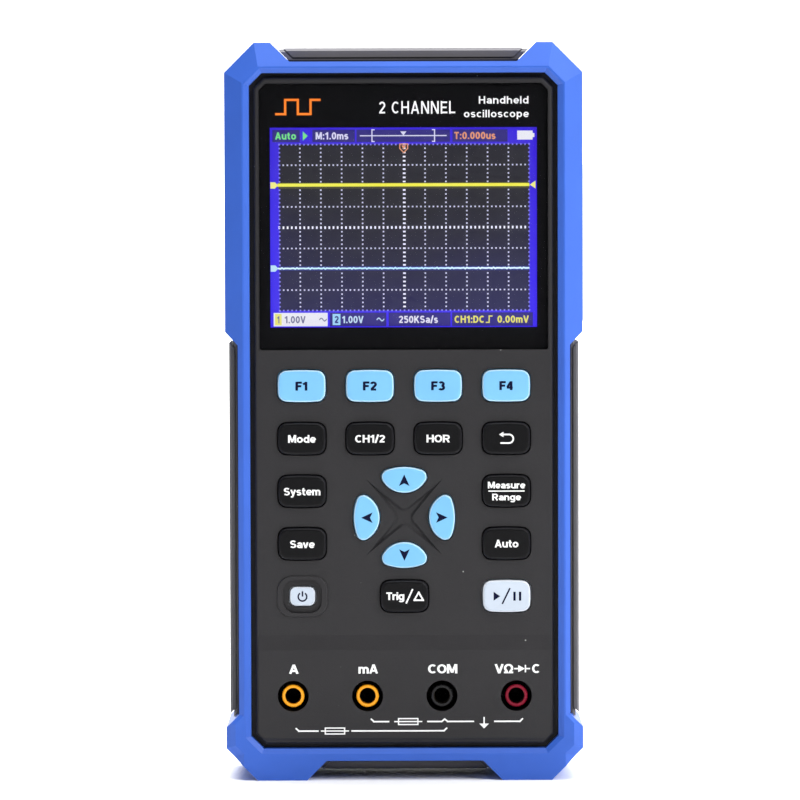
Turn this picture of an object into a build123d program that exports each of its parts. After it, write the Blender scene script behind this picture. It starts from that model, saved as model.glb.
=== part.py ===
"""Handheld two-channel oscilloscope and multimeter.

A shallow front shell and a deep rear shell close on a seal and carry a soft two-piece
bumper.  The front holds the window, the display and nineteen sprung keys above four 4 mm
test-lead sockets.  The top end has a recess with three coaxial sockets, the right side a
charging port under a hinged cover, and the back a folding stand over the battery door.

Millimetres.  X runs across the front to the right, Y from the front to the back, Z up.
The origin is under the middle of the case, on the surface that its two feet stand on.
"""

import os
from math import cos, radians, sin

from build123d import *

# ---------------------------------------------------------------- driving sizes: case
width = 96.0
height = 198.0
depth = 38.0

seam_depth = 7.5            # front ridge of the bumper to the seam between the shells
shoulder_depth = 4.5        # ridge of the bumper to the shell's shoulder under it
face_recess = 1.8           # ridge of the bumper to the keypad face
back_recess = 2.2           # rear ridge of the bumper to the back face
wall = 2.2                  # shell wall
face_plate = 2.0            # thickness of the keypad face

bumper_side = 3.1           # bumper wall beside the shell at the corner blocks
bumper_top = 4.6            # and above it
bumper_foot = 4.9           # and below it
top_cut = 8.0               # 45 degree cut of the two upper corners
foot_cut = 8.5              # 45 degree cut of the two feet
waist_inset = 3.5           # how far the bumper steps in beside the grips
waist_low = 17.7            # the waist starts above the feet
waist_high = 117.0          # and ends below the upper blocks
top_gap_half = 30.4         # half the width of the gap in the bumper's top edge
top_gap_deep = 5.2
foot_gap_half = 21.0        # half the width of the gap between the feet
foot_gap_deep = 5.3
rim = 3.6                   # bumper's reach over the shell's shoulder
groove = 1.25               # dark groove between the bumper and the face
ridge_in = 5.0              # ridge line inside the bumper's side
ridge_flat = 0.4
outer_fall = 3.6            # how far the outer facet falls back from the ridge
inner_fall = 0.9            # and the inner facet
foot_bevel = 2.5            # bevel round the flat front of the feet
foot_bevel_fall = 2.0

# ---------------------------------------------------------------- driving sizes: front
lens_width = 77.3
lens_height = 71.2
lens_margin = 1.6           # top of the face to the top of the lens
lens_thick = 1.4
lens_below_face = 0.2
lens_gap = 0.1
gasket_thick = 0.3
lens_ledge = 1.3            # shell ledge that the lens is bonded to
screen_width = 71.6         # lit area
screen_height = 53.6
screen_rise = 5.9           # bottom of the lens to the bottom of the lit area
view_border = 1.0           # opening in the ledge, past the lit area
panel_border = 2.4          # glass of the display past the lit area
panel_thick = 2.6

key_width = 12.1
key_height = 7.9
key_corner = 2.3
key_bulge = 0.32            # crown of a key's four sides
key_proud = 1.4             # key top above the face
key_gap = 0.35              # gap round a key in the face
key_flange = 0.9            # flange that keeps the key behind the face
flange_thick = 0.8
key_edge = 0.7              # rounded edge of the key top
key_travel = 1.0
column_pitch = 18.27
first_row_drop = 9.7        # bottom of the lens to the first row of keys
last_row_rise = 26.9        # jacks to the last row of keys
arrow_reach = 10.1          # middle of the arrow pad to the middle of an arrow key
arrow_span = 13.0
arrow_outer = 1.6           # crown of an arrow key's outer side
arrow_inner = 5.3           # and of its inner side
arrow_corner = 1.9
cross_reach = 14.7          # tapered channel between the arrow keys
cross_half = 1.9
cross_round = 1.5
cross_deep = 0.7
cross_slope = 42.0          # slope of the channel's walls
power_width = 6.7
power_height = 5.0
power_ring = (13.7, 11.1, 4.0)
power_bowl = (10.4, 9.0, 3.2)
power_ring_proud = 0.5
power_bowl_deep = 0.7
power_proud = 0.2
mat_thick = 0.9
mat_gap = 0.35
board_thick = 1.2
dome_radius = 2.5
dome_high = 0.45
dome_gap = 0.15
plunger_radius = 1.8

jack_pitch = 20.0
jack_rise = 22.6            # jack axes above the base
jack_hole_radius = 4.18     # well for the shroud of a test lead
collar_radius = 3.0
collar_recess = 0.6
contact_radius = 2.2
jack_radius = 2.0           # 4 mm plug
contact_length = 19.0
contact_recess = 2.4
jack_well = 20.5
jack_wall = 1.15
socket_raise = 0.4          # the face stands prouder round the sockets
ramp_above_jacks = 12.4
ramp_high = 4.0

# ---------------------------------------------------------------- driving sizes: inside and back
main_board_thick = 1.6
main_board_back = 11.0      # front ridge to the rear side of the main board
seal_size = 1.0
screw_radius = 1.5
screw_head_radius = 2.7
screw_head_high = 1.8
screw_sink = 3.8            # screw head seat below the back face
pillar_radius = 3.1
screw_in = 3.9              # screw axis inside the face outline
grip_base = 1.3             # base of a side grip, proud of the shell
grip_proud = 2.25           # its raised part
grip_bevel = 0.6
pad_base = 3.0              # the same for the end pads
pad_proud = 3.3
pad_bevel = 0.8
pad_half_depth = 12.0
pad_end_gap = 0.25          # gap between a pad's ends and the bumper's slopes
pad_inset = 1.9             # end of a base to the end of its raised part
pad_lip = 0.3               # strip of base left between the shell and the groove
pad_groove = 0.5            # groove round the front of a raised part
pad_groove_deep = 0.9

coax_pitch = 19.0
coax_radius = 4.8
coax_bore = 4.05
coax_long = 13.0
coax_tail = 9.0
coax_pin_radius = 0.7
coax_y = 3.2
lug_radius = 5.5
lug_size = 2.0
recess_half = 27.3
recess_front = 9.5          # middle of the recess to its front and back walls
recess_deep = 14.3
recess_wall = 1.5

cell_radius = 9.15
cell_long = 65.0
cell_pitch = 18.9
cell_low = 38.0
bay_wall = 1.4
bay_end = 2.2               # spring contact space at each end
door_thick = 1.8
door_lip = 2.0
door_gap = 0.15
stand_width = 62.0
stand_low = 22.0
stand_hinge_high = 113.5
stand_thick = 2.5
stand_gap = 0.35
barrel_radius = 2.2
stand_pin_radius = 1.0
pin_play = 0.05             # running clearance of the stand on its pin
pin_bite = 3.0              # pin length held in the shell at each end
stand_window = (34.0, 30.0, 4.0)
notch_radius = 8.0

port_high = 144.0
port_width = 9.0
port_height = 3.2
port_deep = 7.4
port_behind = 2.2           # rear side of the main board to the port's axis
cover_low = 122.5
cover_high = 166.0
cover_front = 1.5           # seam to the cover's front edge
cover_width = 14.0
cover_proud = 0.35
cover_thick = 2.4
cover_gap = 0.3

# ---------------------------------------------------------------- planes that follow
front_y = -depth / 2
rear_y = depth / 2
face_y = front_y + face_recess
plate_back_y = face_y + face_plate
shoulder_y = front_y + shoulder_depth
seam_y = front_y + seam_depth
back_y = rear_y - back_recess
rear_shoulder_y = rear_y - shoulder_depth

shell_half = width / 2 - bumper_side
shell_low = bumper_foot
shell_high = height - bumper_top
face_half = shell_half - rim - groove
face_low = shell_low + rim + groove
face_high = shell_high - rim - groove
shell_cut = 4.2
face_cut = 2.7
opening_cut = 3.4
ridge_cut = 4.4
lens_cut = 1.8
lens_foot_cut = 0.4
rim_shrink = rim * (2 - 2**0.5)   # what an inset by the rim takes off a corner cut

lens_high = face_high - lens_margin
lens_low = lens_high - lens_height
lens_y = face_y + lens_below_face
lens_back_y = lens_y + lens_thick
ledge_y = lens_back_y + gasket_thick
ledge_back_y = ledge_y + lens_ledge
screen_low = lens_low + screen_rise
screen_z = screen_low + screen_height / 2
panel_y = ledge_back_y + lens_gap
panel_back_y = panel_y + panel_thick

first_row = lens_low - first_row_drop
row_pitch = (first_row - jack_rise - last_row_rise) / 4
arrow_z = first_row - 2.5 * row_pitch
key_top_y = face_y - key_proud
flange_y = plate_back_y + lens_gap
mat_y = flange_y + flange_thick + 0.3
dome_top_y = flange_y + flange_thick + key_travel + 0.75
keypad_board_y = dome_top_y + dome_high
main_board_y = front_y + main_board_back - main_board_thick
port_y = front_y + main_board_back + port_behind


# ---------------------------------------------------------------- outlines
def facing(y):
    """The plane parallel to the face at depth y, seen from the front: X right, Z up."""
    return Plane(origin=(0, y, 0), x_dir=(1, 0, 0), z_dir=(0, -1, 0))


def mirrored(right_side):
    """Close an outline from the points of its right side, listed from the top down."""
    return right_side + [(-x, z) for x, z in reversed(right_side)]


def outline(points, y):
    """A flat polygon at depth y."""
    with BuildSketch(facing(y)) as sketch:
        with BuildLine():
            Polyline(*points, close=True)
        make_face()
    return sketch.sketch


def panel(y, half, low, high, cut, inset=0.0, low_cut=None):
    """A plate with four 45 degree corners, set in evenly all round."""
    shrink = inset * (2 - 2**0.5)
    top = cut - shrink
    foot = (cut if low_cut is None else low_cut) - shrink
    x = half - inset
    z0 = low + inset
    z1 = high - inset
    return outline(mirrored([(x - top, z1), (x, z1 - top), (x, z0 + foot), (x - foot, z0)]), y)


def shell_outline(y, inset=0.0):
    return panel(y, shell_half, shell_low, shell_high, shell_cut, inset)


def face_outline(y, inset=0.0):
    return panel(y, face_half, face_low, face_high, face_cut, inset)


def lens_outline(y, inset=0.0):
    return panel(y, lens_width / 2, lens_low, lens_high, lens_cut, inset, lens_foot_cut)


def bumper_outline(y):
    """Outer edge of the bumper: cut corners, waist beside the grips, gaps top and bottom."""
    x = width / 2
    waist = x - waist_inset
    return outline(
        mirrored([
            (top_gap_half, height - top_gap_deep),
            (top_gap_half + top_gap_deep, height),
            (x - top_cut, height),
            (x, height - top_cut),
            (x, waist_high + waist_inset),
            (waist, waist_high),
            (waist, waist_low),
            (x, waist_low - waist_inset),
            (x, foot_cut),
            (x - foot_cut, 0),
            (foot_gap_half + foot_gap_deep, 0),
            (foot_gap_half, foot_gap_deep),
        ]),
        y,
    )


def rounded(x, z, wide, high, corner, y):
    """A rounded rectangle on the face."""
    with BuildSketch(facing(y)) as sketch:
        with Locations((x, z)):
            RectangleRounded(wide, high, corner)
    return sketch.sketch


def disc(x, z, radius, y):
    with BuildSketch(facing(y)) as sketch:
        with Locations((x, z)):
            Circle(radius)
    return sketch.sketch


def crowned_key(x, z, y, grow=0.0):
    """A rectangular key with four slightly crowned sides."""
    w = key_width / 2 + grow
    h = key_height / 2 + grow
    with BuildSketch(facing(y)) as sketch:
        with BuildLine():
            ThreePointArc((x - w, z - h), (x, z - h - key_bulge), (x + w, z - h))
            ThreePointArc((x + w, z - h), (x + w + key_bulge, z), (x + w, z + h))
            ThreePointArc((x + w, z + h), (x, z + h + key_bulge), (x - w, z + h))
            ThreePointArc((x - w, z + h), (x - w - key_bulge, z), (x - w, z - h))
        make_face()
        fillet(sketch.vertices(), key_corner + grow / 2)
    return sketch.sketch


def arrow_key(turn, y, grow=0.0):
    """A key of the arrow pad: a flat outer crown and a deeper inner one, turned to its place."""
    half = arrow_span / 2
    base = arrow_reach + (arrow_inner - arrow_outer) / 2
    out = Vector(sin(radians(turn)), cos(radians(turn)))
    side = Vector(out.Y, -out.X)
    middle = Vector(0, arrow_z)
    ends = [middle + out * base + side * (half * way) for way in (-1, 1)]
    crowns = [middle + out * (base + arrow_outer), middle + out * (base - arrow_inner)]
    with BuildSketch(facing(y)) as sketch:
        with BuildLine():
            ThreePointArc(ends[0], crowns[0], ends[1])
            ThreePointArc(ends[1], crowns[1], ends[0])
        make_face()
        fillet(sketch.vertices(), arrow_corner)
        if grow:
            offset(amount=grow)
    return sketch.sketch


def power_cap(x, z, y, grow=0.0):
    with BuildSketch(facing(y)) as sketch:
        with Locations((x, z)):
            RectangleRounded(power_width, power_height, 1.6)
        if grow:
            offset(amount=grow)
    return sketch.sketch


# ---------------------------------------------------------------- where the keys are
columns = [(n - 1.5) * column_pitch for n in range(4)]
rows = [first_row - n * row_pitch for n in range(5)]
key_places = {
    "key_f1": (columns[0], rows[0]),
    "key_f2": (columns[1], rows[0]),
    "key_f3": (columns[2], rows[0]),
    "key_f4": (columns[3], rows[0]),
    "key_mode": (columns[0], rows[1]),
    "key_channel": (columns[1], rows[1]),
    "key_horizontal": (columns[2], rows[1]),
    "key_return": (columns[3], rows[1]),
    "key_system": (columns[0], rows[2]),
    "key_measure": (columns[3], rows[2]),
    "key_save": (columns[0], rows[3]),
    "key_auto": (columns[3], rows[3]),
    "key_trigger": (0.0, rows[4]),
    "key_run": (columns[3], rows[4]),
}
arrow_turns = {"key_up": 0, "key_right": 90, "key_down": 180, "key_left": 270}
power_place = (columns[0], rows[4])


def key_outline(name, y, grow=0.0):
    """The outline of any key, by its name."""
    if name in arrow_turns:
        return arrow_key(arrow_turns[name], y, grow)
    if name == "key_power":
        return power_cap(*power_place, y, grow)
    return crowned_key(*key_places[name], y, grow)


def key_centre(name):
    """The middle of any key, where its plunger meets its dome."""
    if name in arrow_turns:
        turn = radians(arrow_turns[name])
        return (arrow_reach * sin(turn), arrow_z + arrow_reach * cos(turn))
    return power_place if name == "key_power" else key_places[name]


key_names = [*key_places, *arrow_turns, "key_power"]
jack_places = [(n - 1.5) * jack_pitch for n in range(4)]
coax_places = [(n - 1) * coax_pitch for n in range(3)]
screw_x = face_half - screw_in
screw_places = [
    (side * screw_x, z)
    for side in (-1, 1)
    for z in (face_low + screw_in - 0.3, face_high - screw_in + 0.6)
]


# ---------------------------------------------------------------- front shell
def press_holes(y, through):
    """Cut the opening of every key through the face."""
    for name in key_names:
        extrude(key_outline(name, y, key_gap), amount=-through, mode=Mode.SUBTRACT)


def cross_channel(y):
    """The tapered X-shaped channel between the arrow keys."""
    tips = [(cos(radians(a)), sin(radians(a))) for a in (45, 135, 225, 315)]
    waists = [(cos(radians(a)), sin(radians(a))) for a in (90, 180, 270, 360)]
    points = []
    for tip, waist in zip(tips, waists):
        points.append((tip[0] * cross_reach, arrow_z + tip[1] * cross_reach))
        points.append((waist[0] * cross_half, arrow_z + waist[1] * cross_half))
    with BuildSketch(facing(y)) as sketch:
        with BuildLine():
            Polyline(*points, close=True)
        make_face()
        middle = Vector(0, arrow_z)
        inner = [v for v in sketch.vertices() if (Vector(v.X, v.Y) - middle).length < cross_reach / 2]
        fillet(inner, cross_round)
    return sketch.sketch


with BuildPart() as front_shell:
    extrude(shell_outline(seam_y), amount=seam_y - shoulder_y)
    extrude(face_outline(shoulder_y), amount=shoulder_y - face_y)
    fillet(front_shell.faces().sort_by(Axis.Y)[0].outer_wire().edges(), 0.8)
    # the face round the sockets stands a little prouder, behind a shallow ramp
    ramp_z = jack_rise + ramp_above_jacks
    with BuildSketch(Plane.YZ.offset(-face_half + 0.8)):
        with BuildLine():
            Polyline(
                (face_y, ramp_z + ramp_high),
                (face_y - socket_raise, ramp_z),
                (face_y - socket_raise, face_low + 0.8 + 2 * socket_raise),
                (face_y, face_low + 0.8),
                close=True,
            )
        make_face()
    extrude(amount=2 * face_half - 1.6)
    corner_prism = panel(face_y, face_half, face_low, face_high, face_cut, inset=0.8)
    extrude(panel(face_y, face_half + 5, face_low - 5, face_low + 8, 0.1)
            - corner_prism, amount=1.0, mode=Mode.SUBTRACT)
    # raised ring and bowl round the power key
    extrude(rounded(*power_place, *power_ring, face_y), amount=power_ring_proud)
    fillet(front_shell.faces().sort_by(Axis.Y)[0].outer_wire().edges(), 0.4)
    extrude(
        rounded(*power_place, *power_bowl, face_y - power_ring_proud),
        amount=-(power_ring_proud + power_bowl_deep),
        mode=Mode.SUBTRACT,
    )
    extrude(cross_channel(face_y), amount=-cross_deep, taper=cross_slope, mode=Mode.SUBTRACT)
    # hollow behind the keypad, behind the display ledge, and at the seam
    extrude(
        panel(plate_back_y, face_half, face_low, lens_low - 2.4, 2.0, inset=1.7),
        amount=plate_back_y - seam_y,
        mode=Mode.SUBTRACT,
    )
    extrude(
        panel(ledge_back_y, face_half, lens_low - 6.0, face_high, 2.0, inset=1.7),
        amount=ledge_back_y - seam_y,
        mode=Mode.SUBTRACT,
    )
    extrude(
        shell_outline(shoulder_y + 1.4, inset=wall),
        amount=shoulder_y + 1.4 - seam_y,
        mode=Mode.SUBTRACT,
    )
    # window seat and the opening in its ledge
    extrude(lens_outline(face_y, -lens_gap), amount=face_y - ledge_y, mode=Mode.SUBTRACT)
    view = rounded(
        0, screen_z, screen_width + 2 * view_border, screen_height + 2 * view_border, 1.0, ledge_y
    )
    extrude(view, amount=ledge_y - ledge_back_y, mode=Mode.SUBTRACT)
    press_holes(face_y, face_plate)
    for x in jack_places:
        extrude(
            disc(x, jack_rise, jack_hole_radius, face_y - socket_raise),
            amount=-face_plate - socket_raise,
            mode=Mode.SUBTRACT,
        )
    # bosses that the case screws bite into
    for x, z in screw_places:
        extrude(disc(x, z, pillar_radius, seam_y), amount=seam_y - ledge_back_y)
        extrude(
            disc(x, z, screw_radius, seam_y), amount=seam_y - ledge_back_y - 0.6, mode=Mode.SUBTRACT
        )

# ---------------------------------------------------------------- window and display
with BuildPart() as screen_window:
    extrude(lens_outline(lens_back_y), amount=lens_thick)
    chamfer(screen_window.faces().sort_by(Axis.Y)[0].outer_wire().edges(), 0.25)

with BuildPart() as window_gasket:
    extrude(
        lens_outline(ledge_y),
        amount=gasket_thick,
    )
    extrude(
        rounded(
            0, screen_z, screen_width + 2 * view_border, screen_height + 2 * view_border, 1.0, ledge_y
        ),
        amount=gasket_thick,
        mode=Mode.SUBTRACT,
    )

panel_wide = screen_width + 2 * panel_border
panel_high = screen_height + 4 * panel_border
panel_z = screen_z - panel_border
with BuildPart() as display_panel:
    extrude(rounded(0, panel_z, panel_wide, panel_high, 0.4, panel_back_y), amount=panel_thick)

frame_rim = 1.4
frame_floor = 0.9
frame_y = shoulder_y + 1.6
with BuildPart() as display_frame:
    extrude(
        rounded(
            0, panel_z, panel_wide + 2 * frame_rim, panel_high + 2 * frame_rim, 1.0,
            panel_back_y + frame_floor,
        ),
        amount=panel_back_y + frame_floor - frame_y,
    )
    extrude(
        rounded(0, panel_z, panel_wide + 0.2, panel_high + 0.2, 0.4, panel_back_y),
        amount=panel_back_y - frame_y,
        mode=Mode.SUBTRACT,
    )


# ---------------------------------------------------------------- keys
def make_key(name):
    """Cap, captive flange and plunger of one key."""
    is_power = name == "key_power"
    top_y = face_y - (power_proud if is_power else key_proud)
    edge = 0.4 if is_power else key_edge
    with BuildPart() as key:
        extrude(key_outline(name, flange_y), amount=flange_y - top_y)
        fillet(key.faces().sort_by(Axis.Y)[0].outer_wire().edges(), edge)
        extrude(key_outline(name, flange_y, key_flange), amount=-flange_thick)
        extrude(
            disc(*key_centre(name), plunger_radius, flange_y + flange_thick),
            amount=-(dome_top_y - dome_gap - key_travel - flange_y - flange_thick),
        )
    return key.part


keys = {name: make_key(name) for name in key_names}

pad_low = rows[4] - key_height / 2 - 2.6
pad_high = rows[0] + key_height / 2 + 2.2
pad_half = columns[3] + key_width / 2 + 1.9
with BuildPart() as keypad_mat:
    extrude(
        rounded(0, (pad_low + pad_high) / 2, 2 * pad_half, pad_high - pad_low, 1.5, mat_y + mat_thick),
        amount=mat_thick,
    )
    for name in key_names:
        extrude(
            key_outline(name, mat_y, key_flange + mat_gap), amount=-mat_thick, mode=Mode.SUBTRACT
        )

with BuildPart() as keypad_board:
    extrude(
        rounded(
            0, (pad_low + pad_high) / 2, 2 * pad_half, pad_high - pad_low, 1.5,
            keypad_board_y + board_thick,
        ),
        amount=board_thick,
    )

with BuildPart() as snap_domes:
    for name in key_names:
        dome = disc(*key_centre(name), dome_radius, keypad_board_y)
        extrude(dome, amount=dome_high - 0.01, taper=35)

# ---------------------------------------------------------------- test-lead sockets
jack_y = plate_back_y
jack_half = jack_places[3] + jack_hole_radius + jack_wall
jack_back_y = jack_y + jack_well + 2.0
with BuildPart() as jack_block:
    extrude(
        rounded(
            0, jack_rise, 2 * jack_half, 2 * (jack_hole_radius + jack_wall), 1.5, jack_back_y
        ),
        amount=jack_back_y - jack_y,
    )
    for x in jack_places:
        extrude(
            disc(x, jack_rise, jack_hole_radius, jack_y), amount=-jack_well, mode=Mode.SUBTRACT
        )


def make_collar(x):
    """The coloured insulating sleeve of one socket, standing in its well."""
    with BuildPart() as collar:
        front = face_y - socket_raise + collar_recess
        floor = jack_y + jack_well
        extrude(disc(x, jack_rise, collar_radius, floor), amount=floor - front)
        extrude(
            disc(x, jack_rise, contact_radius, front), amount=front - floor, mode=Mode.SUBTRACT
        )
        chamfer(collar.faces().sort_by(Axis.Y)[0].outer_wire().edges(), 0.25)
    return collar.part


collar_names = ["collar_amp", "collar_milliamp", "collar_common", "collar_volt"]
collars = {name: make_collar(x) for name, x in zip(collar_names, jack_places)}

contact_y = face_y + contact_recess
with BuildPart() as jack_contacts:
    for x in jack_places:
        extrude(disc(x, jack_rise, contact_radius, contact_y + contact_length), amount=contact_length)
        extrude(
            disc(x, jack_rise, jack_radius, contact_y), amount=-contact_length, mode=Mode.SUBTRACT
        )

# ---------------------------------------------------------------- rear shell
bay_half = cell_pitch / 2 + cell_radius + 0.35
bay_low = cell_low - bay_end
bay_high = cell_low + cell_long + bay_end
stand_half = stand_width / 2
pocket_y = back_y - stand_thick - 0.1
door_y = pocket_y - door_thick
cell_y = door_y - 0.15 - cell_radius
bay_floor_y = cell_y - cell_radius - 0.25
stand_axis_y = back_y - barrel_radius
pocket_high = stand_hinge_high + barrel_radius + stand_gap + 0.2
recess_floor = shell_high - recess_deep
recess_low_y = coax_y - recess_front
recess_high_y = coax_y + recess_front
tray_half = recess_half + recess_wall
tray_low_y = recess_low_y - recess_wall
tray_high_y = recess_high_y + recess_wall
cover_y0 = seam_y + cover_front
cover_y1 = cover_y0 + cover_width


def block(x0, x1, y0, y1, z0, z1, mode=Mode.ADD):
    """A box given by its six sides."""
    with Locations(((x0 + x1) / 2, (y0 + y1) / 2, (z0 + z1) / 2)):
        Box(x1 - x0, y1 - y0, z1 - z0, mode=mode)


with BuildPart() as rear_shell:
    extrude(shell_outline(rear_shoulder_y), amount=rear_shoulder_y - seam_y)
    extrude(face_outline(rear_shoulder_y), amount=rear_shoulder_y - back_y)
    chamfer(rear_shell.faces().sort_by(Axis.Y)[-1].outer_wire().edges(), 0.6)
    extrude(
        shell_outline(seam_y, inset=wall),
        amount=seam_y - (pocket_y - wall),
        mode=Mode.SUBTRACT,
    )
    # pillars for the case screws
    for x, z in screw_places:
        extrude(disc(x, z, pillar_radius, back_y - wall), amount=back_y - wall - seam_y)
        extrude(disc(x, z, screw_radius + 0.15, back_y), amount=back_y - seam_y, mode=Mode.SUBTRACT)
        extrude(
            disc(x, z, screw_head_radius + 0.2, back_y), amount=screw_sink, mode=Mode.SUBTRACT
        )
    # battery bay
    block(-bay_half - bay_wall, bay_half + bay_wall, bay_floor_y - bay_wall, pocket_y,
          bay_low - bay_wall, bay_high + bay_wall)
    block(-bay_half, bay_half, bay_floor_y, pocket_y, bay_low, bay_high, Mode.SUBTRACT)
    # pocket for the stand, its hinge trough and the seat of the battery door
    block(-stand_half - stand_gap, stand_half + stand_gap, pocket_y, rear_y,
          stand_low - stand_gap, pocket_high, Mode.SUBTRACT)
    trough_radius = barrel_radius + stand_gap
    block(-stand_half - stand_gap - wall, stand_half + stand_gap + wall,
          stand_axis_y - trough_radius - 1.2, pocket_y,
          stand_hinge_high - trough_radius - 1.2, pocket_high + 1.2)
    block(-stand_half - stand_gap, stand_half + stand_gap, stand_axis_y - trough_radius, rear_y,
          stand_hinge_high - trough_radius, pocket_high, Mode.SUBTRACT)
    block(-bay_half - door_lip, bay_half + door_lip, door_y, pocket_y,
          bay_low - door_lip, bay_high + door_lip, Mode.SUBTRACT)
    with Locations((0, pocket_y + stand_thick / 2, stand_low)):
        Cylinder(notch_radius, 2 * stand_thick, rotation=(90, 0, 0), mode=Mode.SUBTRACT)
    with Locations((0, stand_axis_y, stand_hinge_high)):
        Cylinder(
            stand_pin_radius, stand_width + 2 * (stand_gap + pin_bite), rotation=(0, 90, 0),
            mode=Mode.SUBTRACT,
        )
    # opening for the tray of the coaxial sockets
    block(-tray_half, tray_half, tray_low_y, tray_high_y, recess_floor - recess_wall, height,
          Mode.SUBTRACT)
    # seal groove in the rim, and the charging port
    extrude(
        shell_outline(seam_y, inset=(wall - seal_size) / 2), amount=-seal_size, mode=Mode.SUBTRACT
    )
    extrude(
        shell_outline(seam_y, inset=(wall + seal_size) / 2) - shell_outline(seam_y, inset=wall),
        amount=-seal_size,
    )
    for x, z in screw_places:
        extrude(disc(x, z, pillar_radius, seam_y), amount=-seal_size)
        extrude(
            disc(x, z, screw_radius + 0.15, seam_y), amount=-seal_size, mode=Mode.SUBTRACT
        )
    block(shell_half - 2 * wall, shell_half + 1, port_y - port_height / 2 - 0.1,
          port_y + port_height / 2 + 0.1, port_high - port_width / 2 - 0.1,
          port_high + port_width / 2 + 0.1, Mode.SUBTRACT)

with BuildPart() as coax_tray:
    block(-tray_half, tray_half, tray_low_y, tray_high_y, recess_floor - recess_wall, shell_high)
    block(-recess_half, recess_half, recess_low_y, recess_high_y, recess_floor, height, Mode.SUBTRACT)
    for x in coax_places:
        with Locations((x, coax_y, recess_floor)):
            Cylinder(coax_radius, 4 * recess_wall, mode=Mode.SUBTRACT)

with BuildPart() as case_seal:
    extrude(
        shell_outline(seam_y, inset=(wall - seal_size) / 2)
        - shell_outline(seam_y, inset=(wall + seal_size) / 2),
        amount=-seal_size,
    )

screw_seat_y = back_y - screw_sink
with BuildPart() as case_screws:
    for x, z in screw_places:
        extrude(
            disc(x, z, screw_radius, screw_seat_y), amount=screw_seat_y - ledge_back_y - 0.9
        )
        extrude(disc(x, z, screw_head_radius, screw_seat_y), amount=-screw_head_high)


# ---------------------------------------------------------------- bumper
def facet_body(y_ridge, y_outer, y_seam, flat_feet):
    """Everything behind the bumper's outer facets, from the ridge back to the seam."""
    low = -20.0
    half = width / 2
    top = height - (ridge_in + 1.7)
    outer_top = height
    with BuildPart() as body:
        loft([
            panel(y_ridge, half - ridge_in + ridge_flat / 2, low, top + ridge_flat / 2, ridge_cut),
            panel(y_outer, half, low - ridge_in, outer_top, top_cut),
        ], ruled=True)
        extrude(panel(y_outer, half, low - ridge_in, outer_top, top_cut), amount=y_outer - y_seam)
        if flat_feet:
            x = half - foot_bevel
            top_z = waist_low - 2.4
            loft([
                outline(mirrored([(x - 3, top_z + 3), (x, top_z), (x, foot_cut + 1), (x - 40, foot_cut - 39)]),
                        y_ridge),
                outline(mirrored([(half - 3, top_z + 3), (half, top_z), (half, foot_cut),
                                  (half - 40, foot_cut - 40)]), y_ridge + foot_bevel_fall),
            ], ruled=True)
            extrude(
                outline(mirrored([(half - 3, top_z + 3), (half, top_z), (half, foot_cut),
                                  (half - 40, foot_cut - 40)]), y_ridge + foot_bevel_fall),
                amount=foot_bevel_fall - outer_fall,
            )
    return body.part


def make_bumper(y_ridge, y_shoulder, y_seam, flat_feet):
    """One half of the bumper: outline, facets, opening and the space for the shell."""
    away = 1 if y_ridge > y_seam else -1
    y_outer = y_ridge - away * outer_fall
    y_inner = y_ridge - away * inner_fall
    with BuildPart() as bumper:
        extrude(bumper_outline(y_seam), amount=y_seam - y_ridge)
        add(facet_body(y_ridge, y_outer, y_seam, flat_feet), mode=Mode.INTERSECT)
        extrude(shell_outline(y_seam), amount=y_seam - y_shoulder, mode=Mode.SUBTRACT)
        opening = panel(y_shoulder, shell_half, shell_low, shell_high, opening_cut + rim_shrink, rim)
        extrude(opening, amount=y_shoulder - y_ridge, mode=Mode.SUBTRACT)
        loft([
            panel(y_inner, shell_half, shell_low, shell_high, opening_cut + rim_shrink, rim),
            panel(y_ridge, width / 2 - ridge_in - ridge_flat / 2, shell_low + rim - 1.3,
                  height - ridge_in - 1.7 - ridge_flat / 2, ridge_cut),
        ], ruled=True, mode=Mode.SUBTRACT)
    return bumper.part


front_bumper = make_bumper(front_y, shoulder_y, seam_y, True)

with BuildPart() as rear_bumper:
    add(make_bumper(rear_y, rear_shoulder_y, seam_y, False))
    block(shell_half, width / 2 + 1, cover_y0, cover_y1, cover_low, cover_high, Mode.SUBTRACT)


# ---------------------------------------------------------------- grips and end pads
def make_pad(place, low, high, base, proud, bevel, y_back, along):
    """A soft pad between two slopes of the bumper: its base and a raised part behind a groove.

    place turns a point given as (distance along the edge, distance out of it) into X and Z.
    """
    y_front = seam_y + 1.2

    def slab(inset, out0, out1, y0, y1, mode=Mode.ADD):
        corners = [
            place(low + inset - out0, out0),
            place(high - inset + out0, out0),
            place(high - inset + out1, out1),
            place(low + inset - out1, out1),
        ]
        extrude(outline(corners, y1), amount=y1 - y0, mode=mode)

    def bevelled(inset, out0, out1):
        x, z = place((low + high) / 2, out1)
        with BuildPart() as piece:
            slab(inset, out0, out1, y_front, y_back)
            outer = piece.faces().sort_by_distance(Vector(x, (y_front + y_back) / 2, z))[0]
            chamfer(outer.outer_wire().edges().filter_by(along), bevel)
        return piece.part

    with BuildPart() as pad:
        add(bevelled(0, 0, base))
        slab(pad_inset - pad_groove, pad_lip, proud + 1, y_front, y_front + pad_groove_deep,
             Mode.SUBTRACT)
        add(bevelled(pad_inset, pad_lip + pad_groove, proud))
    return pad.part


grip_low = waist_low - (shell_half - width / 2 + waist_inset) + pad_end_gap
grip_high = waist_high + (shell_half - width / 2 + waist_inset) - pad_end_gap
left_grip = make_pad(lambda s, out: (-shell_half - out, s), grip_low, grip_high,
                     grip_base, grip_proud, grip_bevel, pad_half_depth, Axis.Z)
right_grip = make_pad(lambda s, out: (shell_half + out, s), grip_low, grip_high,
                      grip_base, grip_proud, grip_bevel, pad_half_depth, Axis.Z)

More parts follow.
